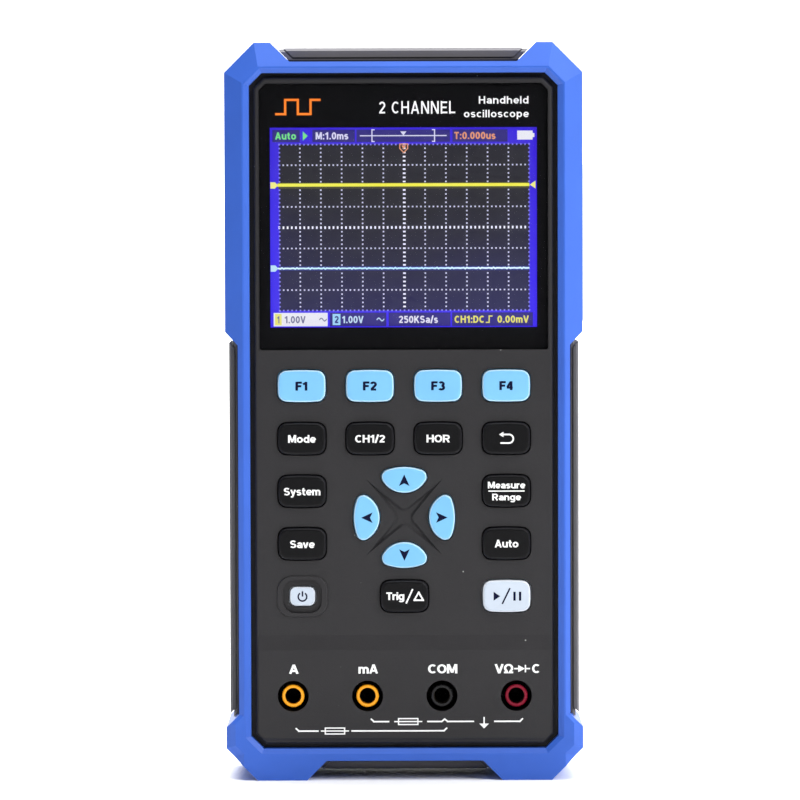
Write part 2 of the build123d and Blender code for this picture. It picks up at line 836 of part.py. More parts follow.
foot_pad_half = foot_gap_half - pad_end_gap + (foot_gap_deep - shell_low)
bottom_pad = make_pad(lambda s, out: (s, shell_low - out), -foot_pad_half, foot_pad_half,
                      pad_base - 0.4, pad_proud - 0.4, pad_bevel, pad_half_depth, Axis.X)

top_pad_half = top_gap_half - pad_end_gap + (shell_high - height + top_gap_deep)
with BuildPart() as top_pad:
    add(make_pad(lambda s, out: (s, shell_high + out), -top_pad_half, top_pad_half,
                 pad_base, pad_proud, pad_bevel, pad_half_depth + 1.6, Axis.X))
    block(-recess_half, recess_half, recess_low_y, recess_high_y, recess_floor, height, Mode.SUBTRACT)

# ---------------------------------------------------------------- boards
with BuildPart() as main_board:
    block(-shell_half + wall + 1.2, shell_half - wall - 1.2, main_board_y,
          main_board_y + main_board_thick, jack_rise + jack_hole_radius + jack_wall + 2,
          recess_floor - recess_wall - 1.0)

shield_z = screen_z + 8
with BuildPart() as shield_can:
    y0 = main_board_y + main_board_thick
    block(-24, 14, y0, y0 + 3.4, shield_z - 20, shield_z + 14)
    fillet(shield_can.edges().filter_by(Axis.Y), 1.0)
    block(-23.6, 13.6, y0, y0 + 3.0, shield_z - 19.6, shield_z + 13.6, Mode.SUBTRACT)

with BuildPart() as buzzer:
    with Locations((-30, main_board_y + main_board_thick + 2.5, screen_low + 4)):
        Cylinder(4.5, 5.0, rotation=(90, 0, 0))
    fillet(buzzer.edges().filter_by(GeomType.CIRCLE).sort_by(Axis.Y)[-1], 0.5)

fuse_y = main_board_y + main_board_thick + 4.0
fuse_places = [(side * 33.0, 60.0) for side in (-1, 1)]
fuse_long = 20.0
with BuildPart() as fuses:
    for x, z in fuse_places:
        with Locations((x, fuse_y, z)):
            Cylinder(2.5, fuse_long)

with BuildPart() as fuse_clips:
    for x, z in fuse_places:
        for end in (-1, 1):
            clip_z = z + end * (fuse_long / 2 - 2.5)
            block(x - 3.3, x + 3.3, main_board_y + main_board_thick, fuse_y + 0.8,
                  clip_z - 1.8, clip_z + 1.8)
            with Locations((x, fuse_y, clip_z)):
                Cylinder(2.5, 5.0, mode=Mode.SUBTRACT)

# ---------------------------------------------------------------- coaxial sockets
coax_top = recess_floor + coax_long
with BuildPart() as coax_shells:
    for x in coax_places:
        with Locations((x, coax_y, recess_floor)):
            Cylinder(coax_radius, coax_long, align=(Align.CENTER, Align.CENTER, Align.MIN))
            Cylinder(coax_radius, coax_tail, align=(Align.CENTER, Align.CENTER, Align.MAX))
        with Locations((x, coax_y, recess_floor + 3.0)):
            Cylinder(
                coax_bore, coax_long, align=(Align.CENTER, Align.CENTER, Align.MIN),
                mode=Mode.SUBTRACT,
            )
        with Locations((x, coax_y, coax_top - 3.4)):
            Cylinder(lug_size / 2, 2 * lug_radius, rotation=(0, 90, 0))
            Cylinder(coax_bore, 4 * lug_size, mode=Mode.SUBTRACT)

with BuildPart() as coax_insulators:
    for x in coax_places:
        with Locations((x, coax_y, recess_floor + 3.0)):
            Cylinder(2.3, coax_long - 5.5, align=(Align.CENTER, Align.CENTER, Align.MIN))
            Cylinder(
                coax_pin_radius, coax_long, align=(Align.CENTER, Align.CENTER, Align.MIN),
                mode=Mode.SUBTRACT,
            )

with BuildPart() as coax_pins:
    for x in coax_places:
        with Locations((x, coax_y, recess_floor + 3.0)):
            Cylinder(
                coax_pin_radius, coax_long - 6.5, align=(Align.CENTER, Align.CENTER, Align.MIN)
            )

with BuildPart() as coax_nuts:
    for x in coax_places:
        with BuildSketch(Plane.XY.offset(recess_floor)):
            with Locations((x, coax_y)):
                RegularPolygon(7.4, 6)
                Circle(coax_radius, mode=Mode.SUBTRACT)
        extrude(amount=2.0)

# ---------------------------------------------------------------- battery
with BuildPart() as battery_cells:
    for side in (-1, 1):
        with Locations((side * cell_pitch / 2, cell_y, cell_low + cell_long / 2)):
            Cylinder(cell_radius, cell_long)
    fillet(battery_cells.edges().filter_by(GeomType.CIRCLE), 0.6)

with BuildPart() as battery_contacts:
    for side in (-1, 1):
        x = side * cell_pitch / 2
        for z0, z1 in ((bay_low, bay_low + 0.4), (bay_high - 0.4, bay_high)):
            block(x - 5.5, x + 5.5, cell_y - 5, cell_y + 5, z0, z1)
        for z0, z1 in ((bay_low + 0.4, cell_low), (cell_low + cell_long, bay_high - 0.4)):
            with Locations((x, cell_y, (z0 + z1) / 2)):
                Cylinder(3.2, z1 - z0)

door_inset = door_lip - door_gap
door_half = bay_half + door_inset
with BuildPart() as battery_door:
    block(-door_half, door_half, door_y, pocket_y, bay_low - door_inset, bay_high + door_inset)
    fillet(battery_door.edges().filter_by(Axis.Y), 1.2)

# ---------------------------------------------------------------- stand
with BuildPart() as kickstand:
    block(-stand_half, stand_half, back_y - stand_thick, back_y, stand_low, stand_hinge_high)
    fillet(kickstand.edges().filter_by(Axis.Y).sort_by(Axis.Z)[:2], 5.0)
    extrude(
        rounded(0, (stand_low + stand_hinge_high) / 2 + 8, *stand_window, rear_y),
        amount=depth / 2,
        mode=Mode.SUBTRACT,
    )
    with Locations((0, stand_axis_y, stand_hinge_high)):
        Cylinder(barrel_radius, stand_width, rotation=(0, 90, 0))
        Cylinder(
            stand_pin_radius + pin_play, stand_width, rotation=(0, 90, 0), mode=Mode.SUBTRACT
        )

with BuildPart() as kickstand_pin:
    with Locations((0, stand_axis_y, stand_hinge_high)):
        Cylinder(
            stand_pin_radius, stand_width + 2 * (stand_gap + pin_bite), rotation=(0, 90, 0)
        )

# ---------------------------------------------------------------- charging port
port_mouth = shell_half - 0.5
with BuildPart() as usb_socket:
    block(port_mouth - port_deep, port_mouth, port_y - port_height / 2, port_y + port_height / 2,
          port_high - port_width / 2, port_high + port_width / 2)
    fillet(usb_socket.edges().filter_by(Axis.X), 1.3)
    block(port_mouth - port_deep + 1, port_mouth, port_y - port_height / 2 + 0.4,
          port_y + port_height / 2 - 0.4, port_high - port_width / 2 + 0.4,
          port_high + port_width / 2 - 0.4, Mode.SUBTRACT)
    block(port_mouth - port_deep, port_mouth - 1.2, port_y - 0.35, port_y + 0.35,
          port_high - 3.2, port_high + 3.2)

cover_out = width / 2 + cover_proud
with BuildPart() as usb_cover:
    block(cover_out - cover_thick, cover_out, cover_y0 + cover_gap, cover_y1 - cover_gap,
          cover_low + cover_gap, cover_high - cover_gap)
    fillet(usb_cover.faces().sort_by(Axis.X)[-1].outer_wire().edges(), 0.6)

# ---------------------------------------------------------------- write every piece
pieces = {
    "front_shell": front_shell.part,
    "rear_shell": rear_shell.part,
    "coax_tray": coax_tray.part,
    "front_bumper": front_bumper,
    "rear_bumper": rear_bumper.part,
    "left_grip": left_grip,
    "right_grip": right_grip,
    "top_pad": top_pad.part,
    "bottom_pad": bottom_pad,
    "screen_window": screen_window.part,
    "window_gasket": window_gasket.part,
    "display_panel": display_panel.part,
    "display_frame": display_frame.part,
    "keypad_mat": keypad_mat.part,
    "keypad_board": keypad_board.part,
    "snap_domes": snap_domes.part,
    "main_board": main_board.part,
    "shield_can": shield_can.part,
    "buzzer": buzzer.part,
    "fuses": fuses.part,
    "fuse_clips": fuse_clips.part,
    "jack_block": jack_block.part,
    "jack_contacts": jack_contacts.part,
    "coax_shells": coax_shells.part,
    "coax_insulators": coax_insulators.part,
    "coax_pins": coax_pins.part,
    "coax_nuts": coax_nuts.part,
    "battery_cells": battery_cells.part,
    "battery_contacts": battery_contacts.part,
    "battery_door": battery_door.part,
    "kickstand": kickstand.part,
    "kickstand_pin": kickstand_pin.part,
    "case_screws": case_screws.part,
    "case_seal": case_seal.part,
    "usb_socket": usb_socket.part,
    "usb_cover": usb_cover.part,
    **collars,
    **keys,
}

os.makedirs("parts", exist_ok=True)
for name, piece in pieces.items():
    piece.label = name
    export_step(piece, f"parts/{name}.step")
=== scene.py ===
import math

import bmesh
import bpy
from bpy.props import FloatProperty, FloatVectorProperty, IntProperty, PointerProperty
from bpy.types import NodeSocket, Operator, Panel, PropertyGroup, Scene
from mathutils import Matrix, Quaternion, Vector


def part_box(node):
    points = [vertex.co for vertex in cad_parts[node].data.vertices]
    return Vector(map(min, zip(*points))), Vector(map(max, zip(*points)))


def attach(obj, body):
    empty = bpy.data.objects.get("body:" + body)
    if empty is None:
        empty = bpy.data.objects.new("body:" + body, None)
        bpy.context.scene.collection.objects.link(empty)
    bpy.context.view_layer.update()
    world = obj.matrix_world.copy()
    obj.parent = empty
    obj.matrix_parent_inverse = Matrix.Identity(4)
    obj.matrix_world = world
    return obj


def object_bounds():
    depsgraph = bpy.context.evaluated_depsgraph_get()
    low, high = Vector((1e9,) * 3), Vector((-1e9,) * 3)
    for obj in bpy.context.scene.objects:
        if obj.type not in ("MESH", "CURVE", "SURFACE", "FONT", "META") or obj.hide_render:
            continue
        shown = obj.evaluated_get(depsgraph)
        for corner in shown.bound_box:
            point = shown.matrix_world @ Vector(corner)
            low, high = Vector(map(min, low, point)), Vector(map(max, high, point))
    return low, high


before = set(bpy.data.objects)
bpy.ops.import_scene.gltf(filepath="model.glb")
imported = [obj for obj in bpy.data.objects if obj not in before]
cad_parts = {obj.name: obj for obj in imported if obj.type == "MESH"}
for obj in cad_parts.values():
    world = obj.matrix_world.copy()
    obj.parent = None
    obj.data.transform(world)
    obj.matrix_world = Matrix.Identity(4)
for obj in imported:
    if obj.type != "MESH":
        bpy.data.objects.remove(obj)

bl_info = {
    "name": "Handheld oscilloscope",
    "version": (1, 0, 0),
    "blender": (4, 5, 0),
    "location": "View3D > Sidebar > Scope",
    "description": "Finishes, legends and display of a handheld oscilloscope",
    "category": "Object",
}

CAD_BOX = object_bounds()
MM = 0.001
INK_HEIGHT = 0.02          # printed ink stands this far off its surface, mm
SHAPE_STEP = 0.0006        # and crossing shapes of one print this far apart, mm
COLOUR_STEP = 0.004        # and each colour of the display this far in front of the last, mm
CLOUD = 14.0               # size of the soft clouds in a moulded colour, mm
DUST_SPACING = 5.5         # a speck may lie in each square of this size, mm
DUST_SPECK = 0.26          # and is this far from its middle to its edge, mm


# ---- shader helpers
def to_linear(hex_colour, alpha=1.0):
    """An sRGB hex colour as the linear colour that shaders take."""
    parts = [int(hex_colour[i:i + 2], 16) / 255 for i in (1, 3, 5)]
    flat = [c / 12.92 if c <= 0.04045 else ((c + 0.055) / 1.055) ** 2.4 for c in parts]
    return (*flat, alpha)


def add_node(tree, kind, settings=None, links=None):
    """Adds one node with its settings and links.

    Capitalised or numbered settings are inputs, the rest are properties.  A link whose source is
    a plain value only sets that input.
    """
    new = tree.nodes.new(kind)
    for key, value in (settings or {}).items():
        if isinstance(key, int) or key[0].isupper():
            new.inputs[key].default_value = value
        else:
            setattr(new, key, value)
    for key, source in (links or {}).items():
        if isinstance(source, NodeSocket):
            tree.links.new(source, new.inputs[key])
        else:
            new.inputs[key].default_value = source
    return new


def empty_material(name):
    """A material with only its output node and its object coordinates."""
    material = bpy.data.materials.new(name)
    material.use_nodes = True
    tree = material.node_tree
    tree.nodes.clear()
    add_node(tree, "ShaderNodeOutputMaterial")
    return material, tree, add_node(tree, "ShaderNodeTexCoord").outputs["Object"]


def shaded(material, kind, settings, links):
    """Adds the material's last shader, links it to the output and returns the material."""
    tree = material.node_tree
    shader = add_node(tree, kind, settings, links)
    tree.links.new(shader.outputs[0], tree.nodes["Material Output"].inputs["Surface"])
    return material


def speckle(tree, place, size_mm, detail=3.0, rough=0.55):
    """Noise whose grains are about size_mm across."""
    settings = {"Scale": 1 / (size_mm * MM), "Detail": detail, "Roughness": rough}
    return add_node(tree, "ShaderNodeTexNoise", settings, {"Vector": place}).outputs["Fac"]


def spread(tree, source, low, high, to_low=0.0, to_high=1.0):
    """Stretches a value from low..high to to_low..to_high, held at the ends."""
    settings = {"From Min": low, "From Max": high, "To Min": to_low, "To Max": to_high}
    return add_node(tree, "ShaderNodeMapRange", settings, {"Value": source}).outputs["Result"]


def blend_colours(tree, factor, first, second):
    """A colour between two others."""
    links = {0: factor, 6: first, 7: second}
    return add_node(tree, "ShaderNodeMix", {"data_type": "RGBA"}, links).outputs[2]


def times(tree, first, second):
    """The product of two values."""
    links = {0: first, 1: second}
    return add_node(tree, "ShaderNodeMath", {"operation": "MULTIPLY"}, links).outputs[0]


def dust(tree, place):
    """Sparse specks of dust: a small dot in some of the cells of a loose scatter."""
    scale = {"Scale": 1 / (DUST_SPACING * MM)}
    cells = add_node(tree, "ShaderNodeTexVoronoi", scale, {"Vector": place})
    near = spread(tree, cells.outputs["Distance"], 0.0, DUST_SPECK / DUST_SPACING, 1.0, 0.0)
    apart = add_node(tree, "ShaderNodeSeparateColor", None, {"Color": cells.outputs["Color"]})
    return times(tree, near, spread(tree, apart.outputs[0], 0.55, 0.6))


def moulded(name, colour, roughness, grain_mm, grain_deep, dusty=0.0, edge=None, sheen=0.25):
    """A moulded plastic or rubber: two close tones in soft clouds under a fine cavity texture.

    The colour is sRGB hex, or the name of the setting that holds it.  An edge colour is a painted
    highlight: the face pales towards it where a key's face rolls away from the front.
    """
    first = to_linear(colour) if colour[0] == "#" else paint(colour)
    second = (*(c * 0.94 for c in first[:3]), 1.0)
    material, tree, place = empty_material(name)
    cloud = speckle(tree, place, CLOUD, 2.0)
    grain = speckle(tree, place, grain_mm, 2.0, 0.6)
    base = blend_colours(tree, spread(tree, cloud, 0.35, 0.65), first, second)
    if dusty:
        base = blend_colours(tree, times(tree, dust(tree, place), dusty), base, to_linear("#B8B8B4"))
    # painted highlight: the colour pales towards the edge colour as the normal turns away from the
    # front, as if light caught the key's rounded rim
    if edge:
        facing = add_node(tree, "ShaderNodeTexCoord").outputs["Normal"]
        front = add_node(tree, "ShaderNodeSeparateXYZ", None, {0: facing}).outputs[1]
        base = blend_colours(tree, spread(tree, front, -0.93, -0.55), base, to_linear(edge))
    gloss = spread(tree, grain, 0.3, 0.7, roughness - 0.06, roughness + 0.06)
    depth = {"Strength": 0.6, "Distance": grain_deep * MM}
    bump = add_node(tree, "ShaderNodeBump", depth, {"Height": grain})
    return shaded(
        material, "ShaderNodeBsdfPrincipled", {"IOR": 1.5, "Specular IOR Level": sheen},
        {"Base Color": base, "Roughness": gloss, "Normal": bump.outputs["Normal"]},
    )


def metal(name, colour, roughness, scratch_mm):
    """A plated or bright metal with fine drawing marks."""
    material, tree, place = empty_material(name)
    stretched = add_node(tree, "ShaderNodeMapping", {"Scale": (1.0, 1.0, 0.08)}, {"Vector": place})
    marks = speckle(tree, stretched.outputs[0], scratch_mm, 4.0, 0.65)
    tarnish = speckle(tree, place, 5.0, 3.0)
    tone = spread(tree, tarnish, 0.4, 0.75, 0.0, 0.35)
    bright = to_linear(colour)
    base = blend_colours(tree, tone, bright, (*(c * 0.55 for c in bright[:3]), 1.0))
    gloss = spread(tree, marks, 0.3, 0.7, roughness * 0.7, roughness * 1.4)
    bump = add_node(tree, "ShaderNodeBump", {"Strength": 0.3, "Distance": 0.01 * MM}, {"Height": marks})
    return shaded(
        material, "ShaderNodeBsdfPrincipled", {"Metallic": 1.0},
        {"Base Color": base, "Roughness": gloss, "Normal": bump.outputs["Normal"]},
    )


def glowing(name, colour, second, strength, dot_mm, rise=None):
    """A lit part of the display: its colour drifts a little, behind a fine mesh of display dots."""
    material, tree, place = empty_material(name)
    drift = speckle(tree, place, 30.0, 1.0)
    tone = spread(tree, drift, 0.35, 0.65)
    if rise:
        # the backlight leaks in from one end
        height = add_node(tree, "ShaderNodeSeparateXYZ", None, {0: place}).outputs[2]
        slope = spread(tree, height, rise[0] * MM, rise[1] * MM)
        mixing = {"operation": "MULTIPLY_ADD", 1: 0.3, "use_clamp": True}
        tone = add_node(tree, "ShaderNodeMath", mixing, {0: tone, 2: slope}).outputs[0]
    base = blend_colours(tree, tone, to_linear(colour), to_linear(second))
    # the dark lines between display dots, drawn softer than they are so that they do not flicker
    mesh = add_node(
        tree, "ShaderNodeTexBrick",
        {"offset": 0.0, "squash": 1.0, "Scale": 1 / (dot_mm * MM), "Mortar Size": 0.06,
         "Mortar Smooth": 1.0, "Brick Width": 1.0, "Row Height": 1.0,
         "Color1": (1, 1, 1, 1), "Color2": (1, 1, 1, 1), "Mortar": (0.78, 0.78, 0.8, 1)},
    )
    upright = {"Rotation": (math.radians(-90), 0, 0)}
    turned = add_node(tree, "ShaderNodeMapping", upright, {"Vector": place})
    tree.links.new(turned.outputs[0], mesh.inputs["Vector"])
    seen = add_node(tree, "ShaderNodeMix", {"data_type": "RGBA", "blend_type": "MULTIPLY", 0: 1.0},
                    {6: base, 7: mesh.outputs["Color"]})
    return shaded(
        material, "ShaderNodeBsdfPrincipled",
        {"Base Color": (0.01, 0.01, 0.012, 1), "Roughness": 0.35, "Emission Strength": strength},
        {"Emission Color": seen.outputs[2]},
    )


def window_acrylic():
    """Hard-coated cast acrylic, polished: clear, with a sharp reflection and a few faint smears."""
    material, tree, place = empty_material("Hard-coated acrylic window")
    smear = speckle(tree, place, 22.0, 3.0)
    gloss = spread(tree, smear, 0.45, 0.7, 0.04, 0.11)
    clear = add_node(tree, "ShaderNodeBsdfTransparent", {"Color": (0.98, 0.98, 0.99, 1)})
    shine = add_node(
        tree, "ShaderNodeBsdfPrincipled",
        {"Base Color": (0.006, 0.006, 0.008, 1), "IOR": 1.49}, {"Roughness": gloss},
    )
    both = {1: clear.outputs[0], 2: shine.outputs[0]}
    return shaded(material, "ShaderNodeMixShader", {0: 0.045}, both)


def circuit_board():
    """Glass-epoxy board under green solder mask, with its weave and a faint grid of tracks."""
    material, tree, place = empty_material("FR4 board with green solder mask")
    weave = add_node(tree, "ShaderNodeTexWave", {"Scale": 1 / (1.4 * MM), "Distortion": 0.4},
                     {"Vector": place})
    tracks = add_node(tree, "ShaderNodeTexBrick", {
        "Scale": 1 / (2.6 * MM), "Mortar Size": 0.12,
        "Color1": to_linear("#0E4A2A"), "Color2": to_linear("#11542F"),
        "Mortar": to_linear("#1E7042"),
    }, {"Vector": place})
    base = blend_colours(tree, times(tree, weave.outputs["Fac"], 0.15), tracks.outputs["Color"],
                         to_linear("#0A3A20"))
    return shaded(material, "ShaderNodeBsdfPrincipled", {"Roughness": 0.35}, {"Base Color": base})


def paper_white():
    """The studio's seamless paper: dead matt white, with a faint tooth."""
    material, tree, place = empty_material("Seamless paper")
    tooth = speckle(tree, place, 1.5, 2.0)
    base = blend_colours(tree, tooth, to_linear("#F6F6F6"), to_linear("#FBFBFB"))
    return shaded(material, "ShaderNodeBsdfPrincipled", {"Roughness": 0.9}, {"Base Color": base})


def paint(part):
    """The colour that the settings hold for a part, with its alpha."""
    return (*getattr(bpy.context.scene.scope_colours, part), 1.0)


# real name, colour, roughness, grain and its depth in mm, dust, colour of the painted edge highlight,
# strength of the shine
MOULDED = {
    # spark-eroded mould texture: dark, matt, with dust caught in it
    "shell": ("ABS shell, spark textured", "shell", 0.5, 0.5, 0.05, 1.0),
    "stand": ("ABS stand, spark textured", "#303033", 0.5, 0.5, 0.05, 0.5),
    # thermoplastic rubber over-moulding: saturated, satin, almost smooth
    "bumper": ("TPE bumper, satin moulded", "bumper", 0.4, 0.6, 0.02),
    # the same rubber in grey with a deeper texture: soft, dull, a little chalky
    "grip": ("TPE grip, spark textured", "grip", 0.45, 0.5, 0.05),
    # the end pad is the same grip rubber painted lighter: painted light falling on the top of the case
    "grip_painted_top_light": ("TPE end pad, spark textured", "#69676B", 0.45, 0.5, 0.05),
    # moulded silicone: dense, soft colour, with a painted highlight that pales it where a key's edge
    # rolls away
    # the edge colours below are painted highlights on the keys' rims
    "key_blue": ("Silicone key, sky blue", "key_blue", 0.38, 0.6, 0.006, 0.0, "#B9DDF4"),
    "key_white": ("Silicone key, white", "key_white", 0.38, 0.6, 0.006, 0.0, "#DCE2EA"),
    "key_black": ("Silicone key, black", "key_black", 0.4, 0.6, 0.006, 0.25, "#1E1E22", 0.13),
    "membrane": ("Silicone mat, grey", "#4A4A4E", 0.55, 0.7, 0.01),
    # polished-mould polyamide: strong colour and a tight highlight
    "collar_amber": ("Polyamide collar, amber", "#EC9C18", 0.3, 1.0, 0.004),
    "collar_black": ("Polyamide collar, black", "#0C0C0E", 0.3, 1.0, 0.004),
    "collar_red": ("Polyamide collar, dark red", "#780E26", 0.3, 1.0, 0.004, 0.0, None, 0.15),
    "socket_black": ("Polyamide block, black", "#0C0C0D", 0.45, 0.8, 0.01),
    # skinned foam: sooty, with open pores
    "foam": ("Closed-cell foam, black", "#161617", 0.85, 0.3, 0.08),
    # inks: flat, thin and dense, with barely any shine
    "print_black": ("Screen print, black", "#060608", 0.45, 1.2, 0.002, 0.0, None, 0.08),
    "ink_orange": ("Screen print, orange", "#F07A20", 0.5, 0.25, 0.004),
    "ink_white": ("Pad-printed ink, white", "#ECECEC", 0.5, 0.25, 0.004),
    "ink_navy": ("Pad-printed ink, navy", "#080C2A", 0.6, 0.25, 0.004, 0.0, None, 0.08),
    # heat-shrunk film: slick, with slow waves
    "sleeve": ("Cell shrink sleeve", "#2A62A8", 0.3, 2.0, 0.01),
    # unglazed ceramic and sintered resin: chalk white, faintly mottled
    "ceramic": ("Fuse ceramic", "#DCD8CE", 0.5, 0.4, 0.01),
    "ptfe": ("PTFE insulator", "#E8E6E0", 0.4, 0.8, 0.006),
}
# real name, colour, roughness, width of the tool marks in mm: clear reflections broken by tool
# marks and a little tarnish
METALS = {
    "nickel": ("Nickel-plated brass", "#C9C4B8", 0.22, 0.3),
    "gilt": ("Gilt brass contact", "#8A6E3C", 0.3, 0.3),
    # the jack contacts' brass is painted near black: painted shade deep in the socket wells
    "contact_painted_shade": ("Brass contact, painted dark as well shade", "#241F18", 0.4, 0.3),
    "steel": ("Bright spring steel", "#B9BABC", 0.28, 0.3),
    "black_steel": ("Blackened steel screw", "#3A3A3C", 0.35, 0.2),
    "tin": ("Tinned steel can", "#B4B4AE", 0.34, 0.5),
}
OTHERS = {"window": window_acrylic, "board": circuit_board, "paper": paper_white}
MADE = {}


def finish(name):
    """The material of that short name, made once."""
    if name not in MADE:
        if name in MOULDED:
            MADE[name] = moulded(*MOULDED[name])
        elif name in METALS:
            MADE[name] = metal(*METALS[name])
        else:
            MADE[name] = OTHERS[name]()
    return MADE[name]


def dress(finish_name, *nodes):
    """Gives CAD nodes their material."""
    for node in nodes:
        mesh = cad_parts[node].data
        mesh.materials.clear()
        mesh.materials.append(finish(finish_name))


def add_piece(name, mesh, material, body):
    """Puts a new mesh in the scene, riding on a body."""
    mesh.materials.append(material)
    piece = bpy.data.objects.new(name, mesh)
    bpy.context.scene.collection.objects.link(piece)
    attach(piece, body)


# ---- flat artwork
def bar(x0, z0, x1, z1):
    """A filled rectangle.  A shape is a list of (points, faces), in mm across and up the face."""
    return [([(x0, z0), (x1, z0), (x1, z1), (x0, z1)], [(0, 1, 2, 3)])]


def patch(*points):
    """One filled polygon."""
    return [(list(points), [tuple(range(len(points)))])]


def line(points, thick):
    """A line of even thickness through the points, with square joints."""
    shapes = []
    for (x0, z0), (x1, z1) in zip(points, points[1:]):
        run = math.hypot(x1 - x0, z1 - z0)
        ux, uz = (x1 - x0) / run * thick / 2, (z1 - z0) / run * thick / 2
        shapes += patch(
            (x0 - ux + uz, z0 - uz - ux), (x1 + ux + uz, z1 + uz - ux),
            (x1 + ux - uz, z1 + uz + ux), (x0 - ux - uz, z0 - uz + ux),
        )
    return shapes


def arc(x, z, radius, start, end, thick, steps=28):
    """Part of a ring, from one angle to another in degrees, turning left."""
    angles = [math.radians(start + (end - start) * n / steps) for n in range(steps + 1)]
    rims = [(x + r * math.cos(a), z + r * math.sin(a))
            for r in (radius - thick / 2, radius + thick / 2) for a in angles]
    return [(rims, [(n, steps + 1 + n, steps + 2 + n, n + 1) for n in range(steps)])]


# Letters are drawn with an even stroke.  Each letter has its width and its strokes; a stroke runs
# through points (x, z) and elliptic arcs (x, z, half width, half height, start, end in degrees),
# in hundredths of a capital's height.
STEM = [(10, 0), (10, 100)]
SHORT_STEM = [(10, 0), (10, 74)]
BOWL = (32, 37, 22, 28, 0, 360)
LETTERS = {
    " ": (30, []),
    "A": (78, [[(10, 0), (39, 100)], [(68, 0), (39, 100)], [(20, 30), (58, 30)]]),
    "C": (72, [[(38, 50, 28, 40, 48, 312)]]),
    "D": (72, [STEM, [(10, 90), (32, 50, 29, 40, 90, -90), (10, 10)]]),
    "E": (62, [STEM, [(10, 90), (58, 90)], [(10, 50), (54, 50)], [(10, 10), (60, 10)]]),
    "F": (60, [STEM, [(10, 90), (58, 90)], [(10, 50), (52, 50)]]),
    "H": (72, [STEM, [(62, 0), (62, 100)], [(10, 52), (62, 52)]]),
    "K": (70, [STEM, [(12, 34), (60, 100)], [(28, 56), (62, 0)]]),
    "L": (58, [STEM, [(10, 10), (56, 10)]]),
    "M": (86, [STEM, [(76, 0), (76, 100)], [(14, 100), (43, 8)], [(72, 100), (43, 8)]]),
    "N": (74, [STEM, [(64, 0), (64, 100)], [(12, 98), (62, 2)]]),
    "O": (78, [[(39, 50, 29, 40, 0, 360)]]),
    "R": (70, [STEM, [(10, 90), (40, 68, 19, 22, 90, -90), (10, 46)], [(38, 46), (60, 0)]]),
    "S": (68, [[(34, 71, 22, 20, 25, 262)], [(34, 30, 24, 21, 98, -155)]]),
    "T": (66, [[(33, 0), (33, 100)], [(2, 90), (64, 90)]]),
    "V": (72, [[(8, 100), (36, 0)], [(64, 100), (36, 0)]]),
    "Ω": (80, [[(78, 9), (52, 9), (40, 56, 29, 36, -52, 232), (28, 9), (2, 9)]]),
    "a": (60, [[(31, 46, 20, 19, 155, 0), (51, 0)], [(30, 23, 19, 14, 0, 360)]]),
    "c": (56, [[(32, 37, 22, 28, 48, 312)]]),
    "d": (64, [[BOWL], [(54, 0), (54, 100)]]),
    "e": (60, [[(32, 37, 22, 28, 0, 318)], [(10, 35), (56, 35)]]),
    "g": (64, [[BOWL], [(54, 74), (32, -2, 22, 18, 0, -150)]]),
    "h": (62, [STEM, [(31, 42, 21, 23, 180, 0), (52, 0)]]),
    "i": (20, [SHORT_STEM, [(10, 84), (10, 100)]]),
    "l": (20, [STEM]),
    "m": (90, [SHORT_STEM, [(28, 44, 17.5, 21, 180, 0), (45.5, 0)],
               [(63, 44, 17.5, 21, 180, 0), (80, 0)]]),
    "n": (62, [SHORT_STEM, [(31, 42, 21, 23, 180, 0), (52, 0)]]),
    "o": (66, [[(33, 37, 23, 28, 0, 360)]]),
    "p": (64, [[(10, -26), (10, 74)], [BOWL]]),
    "r": (42, [SHORT_STEM, [(32, 40, 22, 25, 180, 72)]]),
    "s": (54, [[(27, 51, 17, 14, 30, 262)], [(27, 23, 18, 15, 98, -150)]]),
    "t": (42, [[(18, 95), (35, 26, 17, 17, 180, 285)], [(2, 65), (38, 65)]]),
    "u": (62, [[(10, 74), (31, 31, 21, 22, 180, 360)], [(52, 0), (52, 74)]]),
    "v": (58, [[(8, 74), (29, 0)], [(50, 74), (29, 0)]]),
    "y": (60, [[(8, 74), (31, 6)], [(52, 74), (24, -16), (6, -20)]]),
    "0": (62, [[(31, 50, 21, 40, 0, 360)]]),
    "1": (46, [[(32, 0), (32, 100)], [(30, 88), (4, 70)]]),
    "2": (60, [[(31, 69, 20, 21, 165, -38), (14, 14)], [(6, 10), (56, 10)]]),
    "3": (60, [[(29, 71, 19, 19, 150, -88)], [(29, 30, 22, 21, 86, -150)]]),
    "4": (62, [[(45, 0), (45, 100)], [(43, 96), (10, 34)], [(3, 28), (60, 28)]]),
    "5": (60, [[(54, 90), (17, 90), (13, 52)], [(30, 33, 22, 24, 125, -150)]]),
    "/": (36, [[(4, -5), (32, 105)]]),
    ":": (24, [[(12, 0), (12, 20)], [(12, 52), (12, 72)]]),
    ".": (24, [[(12, 0), (12, 20)]]),
}


